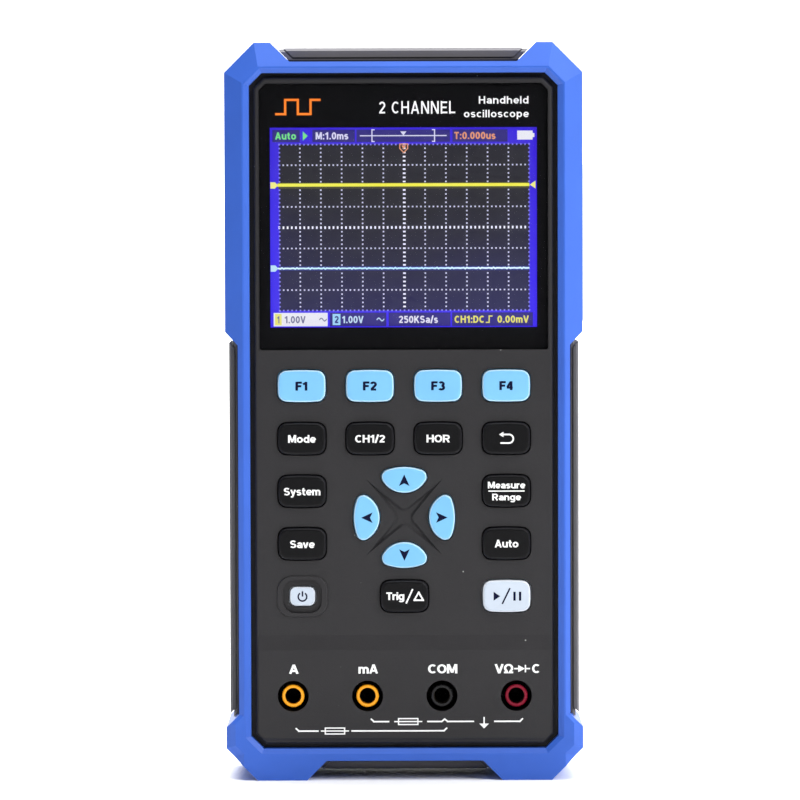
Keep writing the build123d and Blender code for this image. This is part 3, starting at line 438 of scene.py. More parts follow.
def stroke(path, thick):
    """A ribbon of even thickness along points and arcs, mitred where it turns."""
    points = []
    for item in path:
        x, z, *rest = item
        x, z = x / 100, z / 100
        if not rest:
            points.append((x, z))
            continue
        wide, tall, start, end = rest[0] / 100, rest[1] / 100, *rest[2:]
        steps = max(4, int(abs(end - start) / 12))
        for n in range(steps + 1):
            angle = math.radians(start + (end - start) * n / steps)
            points.append((x + wide * math.cos(angle), z + tall * math.sin(angle)))
    left, right = [], []
    for n, here in enumerate(points):
        before, after = points[max(n - 1, 0)], points[min(n + 1, len(points) - 1)]
        if n in (0, len(points) - 1) and math.dist(points[0], points[-1]) < 1e-6:
            before, after = points[-2], points[1]
        normals = []
        for start, end in ((before, here), (here, after)):
            run = math.dist(start, end)
            if run > 1e-9:
                normals.append(((start[1] - end[1]) / run, (end[0] - start[0]) / run))
        x, z = [sum(c) / len(normals) for c in zip(*normals)]
        reach = thick / 2 / max(x * x + z * z, 0.35)
        left.append((here[0] + x * reach, here[1] + z * reach))
        right.append((here[0] - x * reach, here[1] - z * reach))
    count = len(points)
    return [(left + right, [(n, count + n, count + n + 1, n + 1) for n in range(count - 1)])]


def word(text, x, z, cap, width=None, side="middle", weight=0.19, gap=0.1):
    """A short text whose capitals are cap mm high, set to a width if one is given.

    The weight of the strokes and the gap between letters are shares of a capital's height.
    """
    long = sum(LETTERS[c][0] / 100 + gap for c in text) - gap
    across = width / long if width else cap
    pen = x - {"left": 0.0, "middle": 0.5, "right": 1.0}[side] * long * across
    shapes = []
    for letter in text:
        wide, paths = LETTERS[letter]
        for path in paths:
            for points, faces in stroke(path, weight):
                placed = [(pen + px * across, z + (pz - 0.5) * cap) for px, pz in points]
                shapes.append((placed, faces))
        pen += (wide / 100 + gap) * across
    return shapes


def moved(shapes, x, z, turn=0.0):
    """The same artwork turned about its origin and moved."""
    c, s = math.cos(math.radians(turn)), math.sin(math.radians(turn))
    return [([(x + px * c - pz * s, z + px * s + pz * c) for px, pz in points], faces)
            for points, faces in shapes]


def artwork(name, shapes, depth, material, body):
    """One mesh of flat artwork at a depth in metres, facing the front and riding on a body.

    Shapes that cross each other stand a little apart, so that no two faces share a plane.
    """
    verts, faces = [], []
    for layer, (points, polygons) in enumerate(shapes):
        start = len(verts)
        y = depth - (layer % 5) * SHAPE_STEP * MM
        verts += [(u * MM, y, v * MM) for u, v in points]
        faces += [tuple(start + i for i in polygon) for polygon in polygons]
    mesh = bpy.data.meshes.new(name)
    mesh.from_pydata(verts, [], faces)
    add_piece(name, mesh, material, body)


# ---- settings
def whole(label, default, what):
    """A whole number that a user may change."""
    return IntProperty(name=label, default=default, description=what)


def number(label, default, what):
    """A number without a unit of its own."""
    return FloatProperty(name=label, default=default, description=what)


def length(label, default, what):
    """A length, given in mm and held in metres."""
    return FloatProperty(name=label, default=default * MM, description=what, unit="LENGTH")


def degrees(label, default, what):
    """An angle, given in degrees and held in radians."""
    return FloatProperty(name=label, default=math.radians(default), description=what, unit="ROTATION")


def shade(label, hex_colour, what):
    """A colour that a user may pick."""
    return FloatVectorProperty(name=label, default=to_linear(hex_colour)[:3], description=what,
                               subtype="COLOR", size=3, min=0.0, max=1.0)


class ScopeDisplaySettings(PropertyGroup):
    """The display's dots and how bright it is lit."""

    across: whole("Dots across", 320, "Display dots from side to side")
    down: whole("Dots down", 240, "Display dots from top to bottom")
    lit_border: number("Border", 2.4, "Panel glass beside and above the lit area, mm")
    lit_tail: number("Tail", 7.2, "Panel glass below the lit area, mm")
    strength: number("Backlight", 1.0, "Strength of the lit colours")


class ScopeKeySettings(PropertyGroup):
    """Sizes of the legends on the keys."""

    cap: number("Capitals", 2.05, "Height of the legends' capitals, mm")
    stroke: number("Stroke", 0.42, "Thickness of icon lines, mm")


class ScopeColourSettings(PropertyGroup):
    """Colours of the moulded pieces that show."""

    shell: shade("Shell", "#252426", "Face, back and coaxial tray")
    bumper: shade("Bumper", "#325BB8", "Bumper rings and port cover")
    grip: shade("Grips", "#58575A", "Side grips and bottom pad")
    key_blue: shade("Blue keys", "#70ADDA", "Soft keys and arrow keys")
    key_white: shade("White keys", "#B4BECB", "Run key and power key")
    key_black: shade("Black keys", "#09090B", "All other keys")


class ScopeRibSettings(PropertyGroup):
    """Sizes of the finger ribs on the back."""

    count: whole("Ribs", 7, "Ribs above the stand")
    stand_count: whole("Stand ribs", 3, "Ribs on the stand")
    long: length("Length", 44, "Length of a rib")
    width: length("Width", 1.8, "Width of a rib")
    pitch: length("Pitch", 4, "From one rib to the next")
    proud: length("Height", 0.5, "How far a rib stands up")


class ScopeStageSettings(PropertyGroup):
    """Camera and lights."""

    distance: length("Camera distance", 1250, "Lens to the front of the bumper")
    frame_width: length("Frame width", 214.2, "Width taken in at the front of the bumper")
    right: length("Camera right", -1.07, "Camera to the right of the object's middle")
    above: length("Camera above", 3.3, "Camera above the object's middle")
    pitch: degrees("Camera pitch", 2.5, "How far the camera looks down")
    roll: degrees("Camera roll", -0.16, "How far the camera leans")
    key_power: number("Key light", 12.0, "Watts of the upper right softbox")
    fill_power: number("Fill light", 1.2, "Watts of the left softbox")
    top_power: number("Top light", 5.5, "Watts of the overhead softbox")
    side_power: number("Side light", 16.0, "Watts of the tall softbox far to the right")
    back_power: number("Backdrop light", 70.0, "Watts on the paper behind the object")


# ---- case
class SCOPE_OT_case(Operator):
    """Finishes the shells, the bumper, the grips and the end pads"""

    bl_idname = "scope.case"
    bl_label = "Case"

    def execute(self, context):
        dress("shell", "front_shell", "rear_shell", "coax_tray", "battery_door")
        dress("bumper", "front_bumper", "rear_bumper", "usb_cover")
        dress("grip", "left_grip", "right_grip", "bottom_pad")
        # the top pad gets the grip rubber painted lighter, as painted light from above
        dress("grip_painted_top_light", "top_pad")
        dress("stand", "kickstand")
        dress("steel", "kickstand_pin")
        dress("black_steel", "case_screws")
        dress("foam", "case_seal", "window_gasket")
        return {"FINISHED"}


class SCOPE_OT_ribs(Operator):
    """Adds the moulded finger ribs above the stand and on the stand's free end"""

    bl_idname = "scope.ribs"
    bl_label = "Back ribs"

    def execute(self, context):
        settings = context.scene.scope_ribs
        stand_low, stand_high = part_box("kickstand")
        shell_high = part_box("rear_shell")[1]
        margin = 10 * MM
        back = self.level("rear_shell", stand_high.z + margin, shell_high.z - margin)
        middle = (stand_high.z + shell_high.z) / 2
        self.rows("shell_ribs", settings, settings.count, settings.long, middle, back,
                  "shell", "case")
        middle = stand_low.z + settings.pitch * 2.5
        back = self.level("kickstand", stand_low.z, middle)
        self.rows("stand_ribs", settings, settings.stand_count, settings.long * 0.6, middle, back,
                  "stand", "kickstand")
        return {"FINISHED"}

    def level(self, node, low, high):
        """Depth of a node's rearmost surface between two heights, away from its sides."""
        reach = 36 * MM
        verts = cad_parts[node].data.vertices
        return max(v.co.y for v in verts if low <= v.co.z <= high and abs(v.co.x) < reach)

    def rows(self, name, settings, count, length, middle, back, finish_name, body):
        """Bars with sloping flanks and rounded ends, one above the other, standing off the back."""
        proud = min(settings.proud, CAD_BOX[1][1] - back - 0.05 * MM)
        # how far each level of a bar stands off the back, and how much narrower it is there
        levels = ((-0.2 * MM, 0.0), (proud * 0.6, 0.12 * MM), (proud, 0.4 * MM))
        reach = length / 2 - settings.width / 2
        steps = 9
        shape = bmesh.new()
        for n in range(count):
            z = middle + (n - (count - 1) / 2) * settings.pitch
            rings = []
            for depth, inset in levels:
                half = settings.width / 2 - inset
                ring = []
                for side, step in [(s, t) for s in (1, -1) for t in range(steps)]:
                    angle = math.pi * (step / (steps - 1) - 0.5)
                    x = side * (reach + half * math.cos(angle))
                    ring.append(shape.verts.new((x, back + depth, z + side * half * math.sin(angle))))
                rings.append(ring)
            for lower, upper in zip(rings, rings[1:]):
                for i in range(len(lower)):
                    j = (i + 1) % len(lower)
                    shape.faces.new((lower[i], lower[j], upper[j], upper[i]))
            shape.faces.new(rings[-1])
            shape.faces.new(reversed(rings[0]))
        bmesh.ops.recalc_face_normals(shape, faces=shape.faces)
        mesh = bpy.data.meshes.new(name)
        shape.to_mesh(mesh)
        shape.free()
        add_piece(name, mesh, finish(finish_name), body)


class SCOPE_OT_inside(Operator):
    """Finishes the boards, cells and other pieces inside the case"""

    bl_idname = "scope.inside"
    bl_label = "Inside"

    def execute(self, context):
        dress("board", "main_board", "keypad_board")
        dress("tin", "shield_can", "usb_socket")
        dress("socket_black", "display_frame", "buzzer", "jack_block")
        dress("membrane", "keypad_mat")
        dress("steel", "snap_domes", "battery_contacts", "fuse_clips")
        dress("ceramic", "fuses")
        dress("sleeve", "battery_cells")
        return {"FINISHED"}


# ---- window and display
def display_map(settings):
    """Turns display dots, counted from the top left, into mm on the face."""
    low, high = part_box("display_panel")
    left = low.x / MM + settings.lit_border
    top = high.z / MM - settings.lit_border
    wide = (high.x - low.x) / MM - 2 * settings.lit_border
    tall = (high.z - low.z) / MM - settings.lit_border - settings.lit_tail
    return lambda u, v: (left + u * wide / settings.across, top - v * tall / settings.down)


class SCOPE_OT_window(Operator):
    """Finishes the window and prints its black border and header"""

    bl_idname = "scope.window"
    bl_label = "Window"

    def execute(self, context):
        dress("window", "screen_window")
        dress("print_black", "display_panel")
        settings = context.scene.scope_display
        spot = display_map(settings)
        low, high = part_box("screen_window")
        x0, z0, x1, z1 = low.x / MM + 0.1, low.z / MM + 0.1, high.x / MM - 0.1, high.z / MM - 0.1
        left, top = spot(0, 0)
        right, bottom = spot(settings.across, settings.down)
        cut = 1.8        # the window's upper corners are cut off this far, mm
        behind = high.y - 0.02 * MM
        border = (
            patch((x0, z0), (x1, z0), (x1, bottom), (x0, bottom))
            + patch((x0, bottom), (left, bottom), (left, top), (x0, top))
            + patch((right, bottom), (x1, bottom), (x1, top), (right, top))
            + patch((x0, top), (x1, top), (x1, z1 - cut), (x1 - cut, z1), (x0 + cut, z1),
                    (x0, z1 - cut))
        )
        artwork("window_border", border, behind, finish("print_black"), "case")
        print_y = behind - 2 * INK_HEIGHT * MM
        head = (top + z1) / 2 - 0.3
        wave = [(-34.0, -1), (-31.6, -1), (-31.6, 1), (-28.2, 1), (-28.2, -1), (-24.8, -1),
                (-24.8, 1), (-22.4, 1)]
        pulse = line([(x, head + side * 1.9) for x, side in wave], 0.6)
        artwork("header_pulse", pulse, print_y, finish("ink_orange"), "case")
        words = (
            word("2 CHANNEL", 3.7, head - 0.2, 3.4, 20.6, weight=0.13)
            + word("Handheld", 33.6, head + 1.75, 2.0, 13.4, "right", 0.15)
            + word("oscilloscope", 33.6, head - 1.9, 2.0, 17.4, "right", 0.15)
        )
        artwork("header_words", words, print_y, finish("ink_white"), "case")
        return {"FINISHED"}


# places on the display are in display dots, counted across (u) and down (v) from the top left
FIELD = (11, 20, 311, 220)           # the graticule's left, top, right and bottom
DIVISION, TICK = 25, 5               # its squares, and the dots along its lines
HEADER_V, FOOTER_V = 9.9, 230.6      # middle of the header's and the footer's text
FOOTER_TOP, FOOTER_END = 222.4, 238.6
BOX_BLUES = ("#2E2488", "#2C2280")


class SCOPE_OT_display(Operator):
    """Draws what the display shows: header, graticule, two traces and footer"""

    bl_idname = "scope.display"
    bl_label = "Display"

    def execute(self, context):
        settings = context.scene.scope_display
        self.spot = display_map(settings)
        self.dot = abs(self.spot(1, 0)[0] - self.spot(0, 0)[0])
        self.strength = settings.strength
        self.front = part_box("display_panel")[0].y
        self.layer = 0
        self.backdrop()
        self.graticule()
        self.traces()
        self.header()
        self.footer()
        return {"FINISHED"}

    def around(self, u, v, half_wide, half_tall):
        """A rectangle round a place on the display."""
        return self.area(u - half_wide, v - half_tall, u + half_wide, v + half_tall)

    def area(self, u0, v0, u1, v1):
        """A rectangle between two places on the display."""
        x0, z0 = self.spot(u0, v1)
        x1, z1 = self.spot(u1, v0)
        return bar(x0, z0, x1, z1)

    def dots(self, *points):
        """A polygon through places on the display."""
        return patch(*[self.spot(u, v) for u, v in points])

    def text(self, body, u0, u1, v):
        """A reading set from u0 to u1, with its middle at v."""
        x0, z = self.spot(u0, v)
        x1 = self.spot(u1, v)[0]
        return word(body, x0, z, 8.6 * self.dot, x1 - x0, "left", 0.2)

    def show(self, name, shapes, colour, second=None, rise=None, boost=1.0):
        """Each call draws one colour on top of what is already there."""
        self.layer += 1
        strength = self.strength * boost
        material = glowing(f"Display {name}", colour, second or colour, strength, self.dot, rise)
        artwork(f"display_{name}", shapes, self.front - COLOUR_STEP * self.layer * MM, material,
                "case")

    def backdrop(self):
        low, high = self.spot(0, 240)[1], self.spot(0, 0)[1]
        self.show("surround", self.area(0, 0, 320, 240), "#3E26FF", "#3618E4", (low, high))
        low, high = self.spot(0, 220)[1], self.spot(0, 60)[1]
        self.show("field", self.area(*FIELD), "#201E54", "#13121C", (low, high))

    def graticule(self):
        left, top, right, bottom = FIELD
        fine, heavy, edge = [], [], []
        for u in range(left + DIVISION, right, DIVISION):
            for v in range(top, bottom, TICK):
                if u == left + 6 * DIVISION:
                    heavy += self.around(u, v, 1.6, 1.0)
                else:
                    fine += self.around(u, v, 0.9, 0.9)
        for v in range(top + DIVISION, bottom, DIVISION):
            for u in range(left, right, TICK):
                if v == top + 4 * DIVISION:
                    heavy += self.around(u, v, 1.0, 1.6)
                else:
                    fine += self.around(u, v, 0.9, 0.9)
        for u in range(left, right + 1, TICK):
            for v in (top + 0.4, bottom - 0.4):
                edge += self.around(u, v, 0.9, 1.0)
        for v in range(top, bottom + 1, TICK):
            for u in (left + 0.4, right - 0.4):
                edge += self.around(u, v, 1.0, 0.9)
        self.show("graticule", fine, "#E4E4FF", "#D8D8F4", boost=1.15)
        self.show("axes", heavy, "#F4F4FF", "#ECECFF", boost=1.3)
        self.show("edge_ticks", edge, "#9490FF", "#8C88F8")

    def traces(self):
        self.show("trace_glow", self.area(10, 65.8, 311, 73.4), "#4A4A22", "#44441C")
        self.show("trace_one", self.area(9, 67.0, 311, 70.8), "#FFFF5A", "#FFFA46")
        points = []
        for n in range(151):
            noise = 0.5 * math.sin(n * 2.4) * math.sin(n * 0.37 + 1.0)
            points.append(self.spot(10 + 2 * n, 169.0 + noise))
        self.show("trace_two_glow", self.area(10, 166.6, 311, 171.6), "#2C3C94", "#28348C")
        self.show("trace_two", line(points, 1.9 * self.dot), "#E0F6FF", "#B4E2FF", boost=1.3)
        self.show("marker_one", self.flag(69.2)
                  + self.dots((311.6, 69.0), (318.4, 64.2), (318.4, 73.8)), "#FFFA8C")
        self.show("marker_two", self.flag(169.0), "#C8F0FF")
        x, z = self.spot(160.5, 24.4)
        shield = line([(x - 1.05, z + 1.0), (x + 1.05, z + 1.0), (x + 1.05, z - 0.2), (x, z - 1.3),
                       (x - 1.05, z - 0.2), (x - 1.05, z + 1.0)], 0.28)
        self.show("trigger_mark", shield + patch((x - 0.6, z + 0.6), (x, z - 0.55), (x + 0.6, z + 0.6)),
                  "#F0A070")

    def flag(self, v):
        """The marker at the left end of a trace."""
        return self.dots((0.5, v - 3.8), (6.0, v - 3.8), (9.6, v), (6.0, v + 3.8), (0.5, v + 3.8))

    def header(self):
        boxes = ((3, 36), (51, 102), (104, 216), (219, 285))
        back = []
        for left, right in boxes:
            back += self.area(left, 2.6, right, 17.4)
        self.show("header_boxes", back, *BOX_BLUES)
        self.show("header_run", self.text("Auto", 6.4, 31.5, HEADER_V)
                  + self.dots((39.6, 4.4), (45.4, 10.0), (39.6, 15.6)), "#7CF08C")
        x0, z0 = self.spot(108, HEADER_V)
        x1 = self.spot(212, HEADER_V)[0]
        window = bar(x0, z0 - 0.14, x1, z0 + 0.14)
        for u, way in ((122.5, 1), (197.5, -1)):
            x, top = self.spot(u, 2.8)
            low = self.spot(u, 16.8)[1]
            window += line([(x + way * 0.55, top), (x, top), (x, low), (x + way * 0.55, low)], 0.3)
        window += self.dots((156.4, 4.8), (163.8, 4.8), (160.1, 9.8))
        self.show("header_time", self.text("M:1.0ms", 55, 94, HEADER_V) + window, "#F0F0FF", "#E6E6FF")
        self.show("header_trigger", self.text("T:0.000us", 221, 270.5, HEADER_V), "#F0A070")
        x0, z0 = self.spot(296.6, 15.0)
        x1, z1 = self.spot(315.0, 4.2)
        self.show("battery", bar(x0, z0, x1, z1) + self.area(315.0, 7.2, 317.2, 12.0), "#F8F8FF")

    def footer(self):
        self.show("footer_one_box", self.area(3.8, FOOTER_TOP, 68.6, FOOTER_END), "#F4F4FF", "#FAFAFF")
        back = []
        for left, right in ((71.4, 139), (142, 216), (218, 315)):
            back += self.area(left, FOOTER_TOP, right, FOOTER_END)
        self.show("footer_boxes", back, *BOX_BLUES)
        self.show("footer_one_tag", self.area(5.4, 223.8, 13.4, 237.2), "#F2EE7A")
        self.show("footer_one", self.text("1", 8.0, 11.0, FOOTER_V)
                  + self.text("1.00V", 17, 42, FOOTER_V)
                  + self.ripple(59, 67), "#7A7AA0")
        self.show("footer_two_tag", self.area(74.6, 223.8, 84.0, 237.2), "#A8E0FF")
        self.show("footer_two", self.text("1.00V", 86, 111.5, FOOTER_V) + self.ripple(128, 136),
                  "#D0ECFF")
        self.show("footer_two_number", self.text("2", 76.8, 81.8, FOOTER_V), "#20308C")
        self.show("footer_rate", self.text("250KSa/s", 154, 201, FOOTER_V), "#F0F0FF")
        x, z = self.spot(262.5, FOOTER_V)
        edge = line([(x - 0.75, z - 0.85), (x, z - 0.85), (x, z + 0.85), (x + 0.75, z + 0.85)], 0.3)
        self.show("footer_level", self.text("CH1:DC", 221, 257, FOOTER_V)
                  + self.text("0.00mV", 272.5, 310, FOOTER_V) + edge, "#F6F06A")

    def ripple(self, u0, u1):
        """One period of a sine, the mark of alternating current."""
        points = []
        for n in range(13):
            u = u0 + (u1 - u0) * n / 12
            points.append(self.spot(u, FOOTER_V - 1.6 * math.sin(n / 12 * 2 * math.pi)))
        return line(points, 0.28)


# ---- keys
LEGENDS = {
    "key_f1": [("F1", 0.0, 3.2)], "key_f2": [("F2", 0.0, 3.6)],
    "key_f3": [("F3", 0.0, 3.6)], "key_f4": [("F4", 0.0, 3.6)],
    "key_mode": [("Mode", 0.0, 7.4)], "key_channel": [("CH1/2", 0.0, 8.0)],
    "key_horizontal": [("HOR", 0.0, 6.3)], "key_system": [("System", 0.0, 9.9)],
    "key_measure": [("Measure", 1.6, 10.0), ("Range", -1.6, 7.7)],
    "key_save": [("Save", 0.0, 6.6)], "key_auto": [("Auto", 0.0, 6.4)],
}
ARROW_TURNS = {"key_up": 0, "key_left": 90, "key_down": 180, "key_right": 270}
KEY_COLOURS = {"key_run": "key_white", "key_power": "key_white"}
KEY_COLOURS |= {name: "key_blue" for name in ["key_f1", "key_f2", "key_f3", "key_f4", *ARROW_TURNS]}


def return_icon(thick):
    """A line that runs right, turns down and comes back, with an arrowhead at its start."""
    return (
        line([(-1.2, 1.05), (0.7, 1.05)], thick)
        + arc(0.7, -0.1, 1.15, -90, 90, thick)
        + line([(0.7, -1.25), (-1.4, -1.25)], thick)
        + patch((-1.95, 1.05), (-0.8, 0.35), (-0.8, 1.75))
    )


def run_icon(thick):
    """Play, a slash and pause."""
    wide = 1.5 * thick
    return (
        patch((-3.5, -1.2), (-1.75, 0.0), (-3.5, 1.2))
        + line([(-1.1, -1.9), (0.8, 2.0)], thick)
        + bar(2.1 - wide / 2, -1.2, 2.1 + wide / 2, 1.2)
        + bar(3.6 - wide / 2, -1.2, 3.6 + wide / 2, 1.2)
    )


def power_icon(thick):
    """A broken ring with a bar in its gap."""
    return arc(0.0, -0.1, 1.15, 125, 415, thick) + line([(0.0, 0.15), (0.0, 1.2)], thick)


def trigger_icon(thick):
    """A short word, a slash and a triangle."""
    return (
        word("Trig", -2.5, 0.1, 2.05, 4.9, gap=0.0)
        + line([(0.5, -1.7), (2.1, 1.8)], thick)
        + line([(2.6, -1.0), (3.8, 1.1), (5.0, -1.0), (2.6, -1.0)], thick)
    )


def arrow_icon():
    """A notched arrowhead that points up."""
    return patch((0.0, -0.9), (1.42, -1.6), (0.0, 1.5)) + patch((0.0, -0.9), (0.0, 1.5), (-1.42, -1.6))


class SCOPE_OT_keys(Operator):
    """Finishes the keys and prints their legends"""

    bl_idname = "scope.keys"
    bl_label = "Keys"

    def execute(self, context):
        settings = context.scene.scope_keys
        for name in [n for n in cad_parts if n.startswith("key_")]:
            colour = KEY_COLOURS.get(name, "key_black")
            dress(colour, name)
            low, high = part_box(name)
            x, z = (low.x + high.x) / 2 / MM, (low.z + high.z) / 2 / MM
            ink = finish("ink_white" if colour == "key_black" else "ink_navy")
            art = moved(self.legend(name, settings), x, z)
            artwork(f"legend_{name[4:]}", art, low.y - INK_HEIGHT * MM, ink, name)
        return {"FINISHED"}

    def legend(self, name, settings):
        """What is printed on a key, round the key's middle."""
        if name in ARROW_TURNS:
            return moved(arrow_icon(), 0, 0, ARROW_TURNS[name])
        icons = {"key_return": return_icon, "key_run": run_icon, "key_trigger": trigger_icon,
                 "key_power": power_icon}
        if name in icons:
            return icons[name](settings.stroke)
        art = []
        for text, rise, width in LEGENDS[name]:
            # two lines of legend are set smaller, and the soft keys' are larger and bolder
            size, weight = (0.88, 0.18) if rise else (1.15, 0.24) if text[0] == "F" else (1.0, 0.18)
            art += word(text, 0, rise, settings.cap * size, width, weight=weight, gap=0.04)
        if name == "key_measure":
            art += bar(-4.85, -0.15, 4.85, 0.15)
        return art


# ---- sockets
# socket counted from the left, letters, how far they stand to its right, and their width
SOCKET_WORDS = [(0, "A", 0.2, 2.6), (1, "mA", 0.2, 5.3), (2, "COM", 0.2, 7.9), (3, "VΩ", -3.3, 5.0),
                (3, "C", 5.3, 2.2)]
SOCKET_CAP = 2.45


class SCOPE_OT_sockets(Operator):
    """Finishes the test-lead sockets and prints their letters and brackets"""

    bl_idname = "scope.sockets"
    bl_label = "Test-lead sockets"

    def execute(self, context):
        dress("collar_amber", "collar_amp", "collar_milliamp")
        dress("collar_black", "collar_common")
        dress("collar_red", "collar_volt")
        # the contacts are painted near black, as painted shade down in their wells
        dress("contact_painted_shade", "jack_contacts")
        low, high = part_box("jack_contacts")
        rise = (low.z + high.z) / 2 / MM
        pitch = (high.x - low.x - (high.z - low.z)) / 3 / MM
        places = [(n - 1.5) * pitch for n in range(4)]
        label = rise + 7.3
        art = []
        for n, text, aside, wide in SOCKET_WORDS:
            art += word(text, places[n] + aside, label, SOCKET_CAP, wide, gap=0.02)
        art += self.diode(places[3] + 1.5, label) + self.brackets(places, rise)
        depth = self.face_y() - INK_HEIGHT * MM
        artwork("socket_legends", art, depth, finish("ink_white"), "case")
        return {"FINISHED"}

    def face_y(self):
        """Depth of the raised face round the sockets, from the front shell's own surface."""
        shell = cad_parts["front_shell"].data
        return min(v.co.y for v in shell.vertices if v.co.z < 33 * MM and abs(v.co.x) < 36 * MM)

    def diode(self, x, z):
        """A triangle and a bar on a line."""
        return (
            line([(x - 1.9, z), (x - 0.8, z)], 0.36)
            + patch((x - 1.0, z - 0.95), (x + 0.75, z), (x - 1.0, z + 0.95))
            + bar(x + 0.75, z - 1.0, x + 1.1, z + 1.0)
            + line([(x + 1.1, z), (x + 2.0, z)], 0.36)
        )

    def fuse(self, x, z):
        """The symbol of a fuse: an open box with the line running through it."""
        box = line([(x - 2.6, z - 0.8), (x + 2.6, z - 0.8), (x + 2.6, z + 0.8), (x - 2.6, z + 0.8),
                    (x - 2.6, z - 0.8)], 0.32)
        return box + line([(x - 3.6, z), (x + 3.6, z)], 0.32)

    def earth(self, x, z):
        """A short lead into a triangle that points down."""
        return (
            line([(x, z + 1.0), (x, z - 0.7)], 0.36)
            + patch((x - 1.3, z - 0.6), (x, z - 1.9), (x + 1.3, z - 0.6))
        )

    def brackets(self, places, rise):
        """Brackets that tie each socket to the common one."""
        thick = 0.4
        low, high, tip = rise - 9.4, rise - 6.9, 0.65
        common = places[2] + 1.0
        art = line([(places[0] + 0.8, low + tip), (places[0] + 1.5, low), (-23.4, low)], thick)
        art += line([(-14.2, low), (common - 0.5, low), (common + 0.2, low + tip)], thick)
        art += line([(places[1] + 1.0, high + tip), (places[1] + 1.7, high), (-4.4, high)], thick)
        art += line([(6.2, high), (common - 1.1, high), (common - 0.3, high + tip),
                     (common + 0.5, high), (18.4, high)], thick)
        art += line([(24.2, high), (places[3] + 0.9, high), (places[3] + 1.6, high + tip)], thick)
        art += self.fuse(-18.8, low) + self.fuse(0.9, high) + self.earth(21.3, high)
        return art


class SCOPE_OT_coax(Operator):
    """Finishes the coaxial sockets in the top end"""

    bl_idname = "scope.coax"
    bl_label = "Coaxial sockets"

    def execute(self, context):
        dress("nickel", "coax_shells", "coax_nuts")
        dress("ptfe", "coax_insulators")
        dress("gilt", "coax_pins")
        return {"FINISHED"}


# ---- stage
def softbox(name, place, aim, size, power):
    """A rectangular light that faces its aim."""
    light = bpy.data.lights.new(name, "AREA")
    light.shape = "RECTANGLE"
    light.size, light.size_y = size
    light.energy = power
    obj = bpy.data.objects.new(name, light)
    obj.location = place
    obj.rotation_euler = (Vector(aim) - Vector(place)).to_track_quat("-Z", "Y").to_euler()
    bpy.context.scene.collection.objects.link(obj)
    return obj


def paper_sweep(width, front, back, rise, bend):
    """Seamless paper: a floor that curves up into a wall."""
    steps = 24
    profile = [(front, 0.0), (back - bend, 0.0)]
    for n in range(1, steps + 1):
        angle = math.pi / 2 * n / steps
        profile.append((back - bend + bend * math.sin(angle), bend - bend * math.cos(angle)))
    profile.append((back, rise))
    mesh = bpy.data.meshes.new("paper_sweep")
    shape = bmesh.new()
    rows = [[shape.verts.new((x, y, z)) for y, z in profile] for x in (-width / 2, width / 2)]
    for n in range(len(profile) - 1):
        face = shape.faces.new((rows[0][n], rows[1][n], rows[1][n + 1], rows[0][n + 1]))
        face.smooth = True
    shape.to_mesh(mesh)
    shape.free()
    mesh.materials.append(finish("paper"))
    obj = bpy.data.objects.new("paper_sweep", mesh)
    bpy.context.scene.collection.objects.link(obj)
    return obj


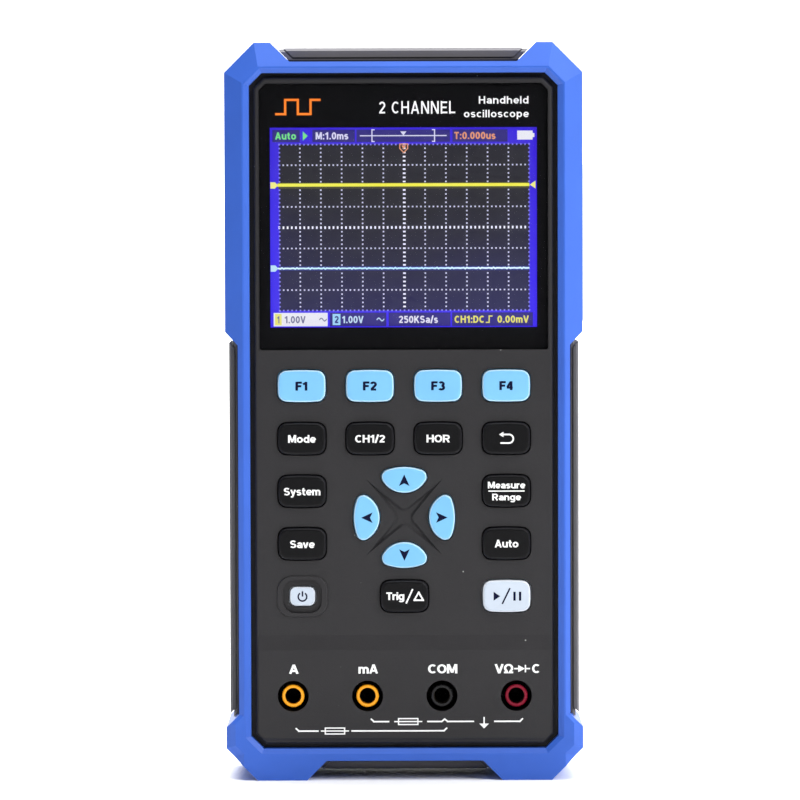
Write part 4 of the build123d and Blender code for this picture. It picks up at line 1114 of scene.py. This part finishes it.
class SCOPE_OT_stage(Operator):
    """Sets the paper, the softboxes and the camera"""

    bl_idname = "scope.stage"
    bl_label = "Stage"

    def execute(self, context):
        settings = context.scene.scope_stage
        scene = context.scene
        scene.view_settings.view_transform = "Standard"
        world = bpy.data.worlds.new("Studio")
        world.use_nodes = True
        tree = world.node_tree
        background = tree.nodes["Background"]
        background.inputs["Color"].default_value = to_linear("#FFFFFF")
        # white where it is seen past the paper, but only a faint fill on the object
        seen = add_node(tree, "ShaderNodeLightPath").outputs["Is Camera Ray"]
        tree.links.new(spread(tree, seen, 0.0, 1.0, 0.1, 1.0), background.inputs["Strength"])
        scene.world = world
        paper_sweep(2.0, -0.9, 1.4, 3.0, 0.6)
        aim = (0.0, 0.0, 0.1)
        softbox("key_softbox", (0.75, -0.75, 0.75), aim, (0.7, 0.7), settings.key_power)
        softbox("fill_softbox", (-0.95, -0.7, 0.25), aim, (0.7, 0.9), settings.fill_power)
        softbox("top_softbox", (0.0, -0.25, 1.0), aim, (0.9, 0.5), settings.top_power)
        softbox("side_softbox", (1.8, 0.1, 0.5), aim, (0.5, 1.2), settings.side_power)
        softbox("back_softbox", (0.0, 0.35, 1.6), (0.0, 1.3, 0.2), (1.8, 0.4), settings.back_power)
        low, high = [Vector(corner) for corner in CAD_BOX]
        middle = (low + high) / 2
        camera = bpy.data.cameras.new("camera")
        camera.sensor_width = 36.0
        camera.lens = camera.sensor_width * settings.distance / settings.frame_width
        camera.clip_start = 0.01
        eye = bpy.data.objects.new("camera", camera)
        aim = Vector((settings.right, low.y, middle.z + settings.above))
        turn = Quaternion((1, 0, 0), math.radians(90) - settings.pitch)
        turn = turn @ Quaternion((0, 0, 1), settings.roll)
        eye.location = aim + turn @ Vector((0, 0, settings.distance))
        eye.rotation_euler = turn.to_euler()
        scene.collection.objects.link(eye)
        scene.camera = eye
        return {"FINISHED"}


class SCOPE_PT_panel(Panel):
    """Lists the steps that finish the oscilloscope, and their settings"""

    bl_idname = "SCOPE_PT_panel"
    bl_label = "Handheld oscilloscope"
    bl_space_type = "VIEW_3D"
    bl_region_type = "UI"
    bl_category = "Scope"

    def draw(self, context):
        for step in STEPS:
            self.layout.operator(step.bl_idname)
        for name, group in GROUPS.items():
            box = self.layout.box()
            for field in group.__annotations__:
                box.prop(getattr(context.scene, name), field)


STEPS = [SCOPE_OT_stage, SCOPE_OT_case, SCOPE_OT_ribs, SCOPE_OT_inside, SCOPE_OT_window,
         SCOPE_OT_display, SCOPE_OT_keys, SCOPE_OT_sockets, SCOPE_OT_coax]
GROUPS = {"scope_colours": ScopeColourSettings, "scope_display": ScopeDisplaySettings,
          "scope_keys": ScopeKeySettings, "scope_ribs": ScopeRibSettings,
          "scope_stage": ScopeStageSettings}


def register():
    for name, group in GROUPS.items():
        bpy.utils.register_class(group)
        setattr(Scene, name, PointerProperty(type=group))
    for item in [*STEPS, SCOPE_PT_panel]:
        bpy.utils.register_class(item)


def unregister():
    for item in reversed([*STEPS, SCOPE_PT_panel]):
        bpy.utils.unregister_class(item)
    for name, group in GROUPS.items():
        delattr(Scene, name)
        bpy.utils.unregister_class(group)


def main():
    """Registers the add-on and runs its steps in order."""
    register()
    for step in STEPS:
        group, name = step.bl_idname.split(".")
        getattr(getattr(bpy.ops, group), name)()


if __name__ == "__main__":
    main()
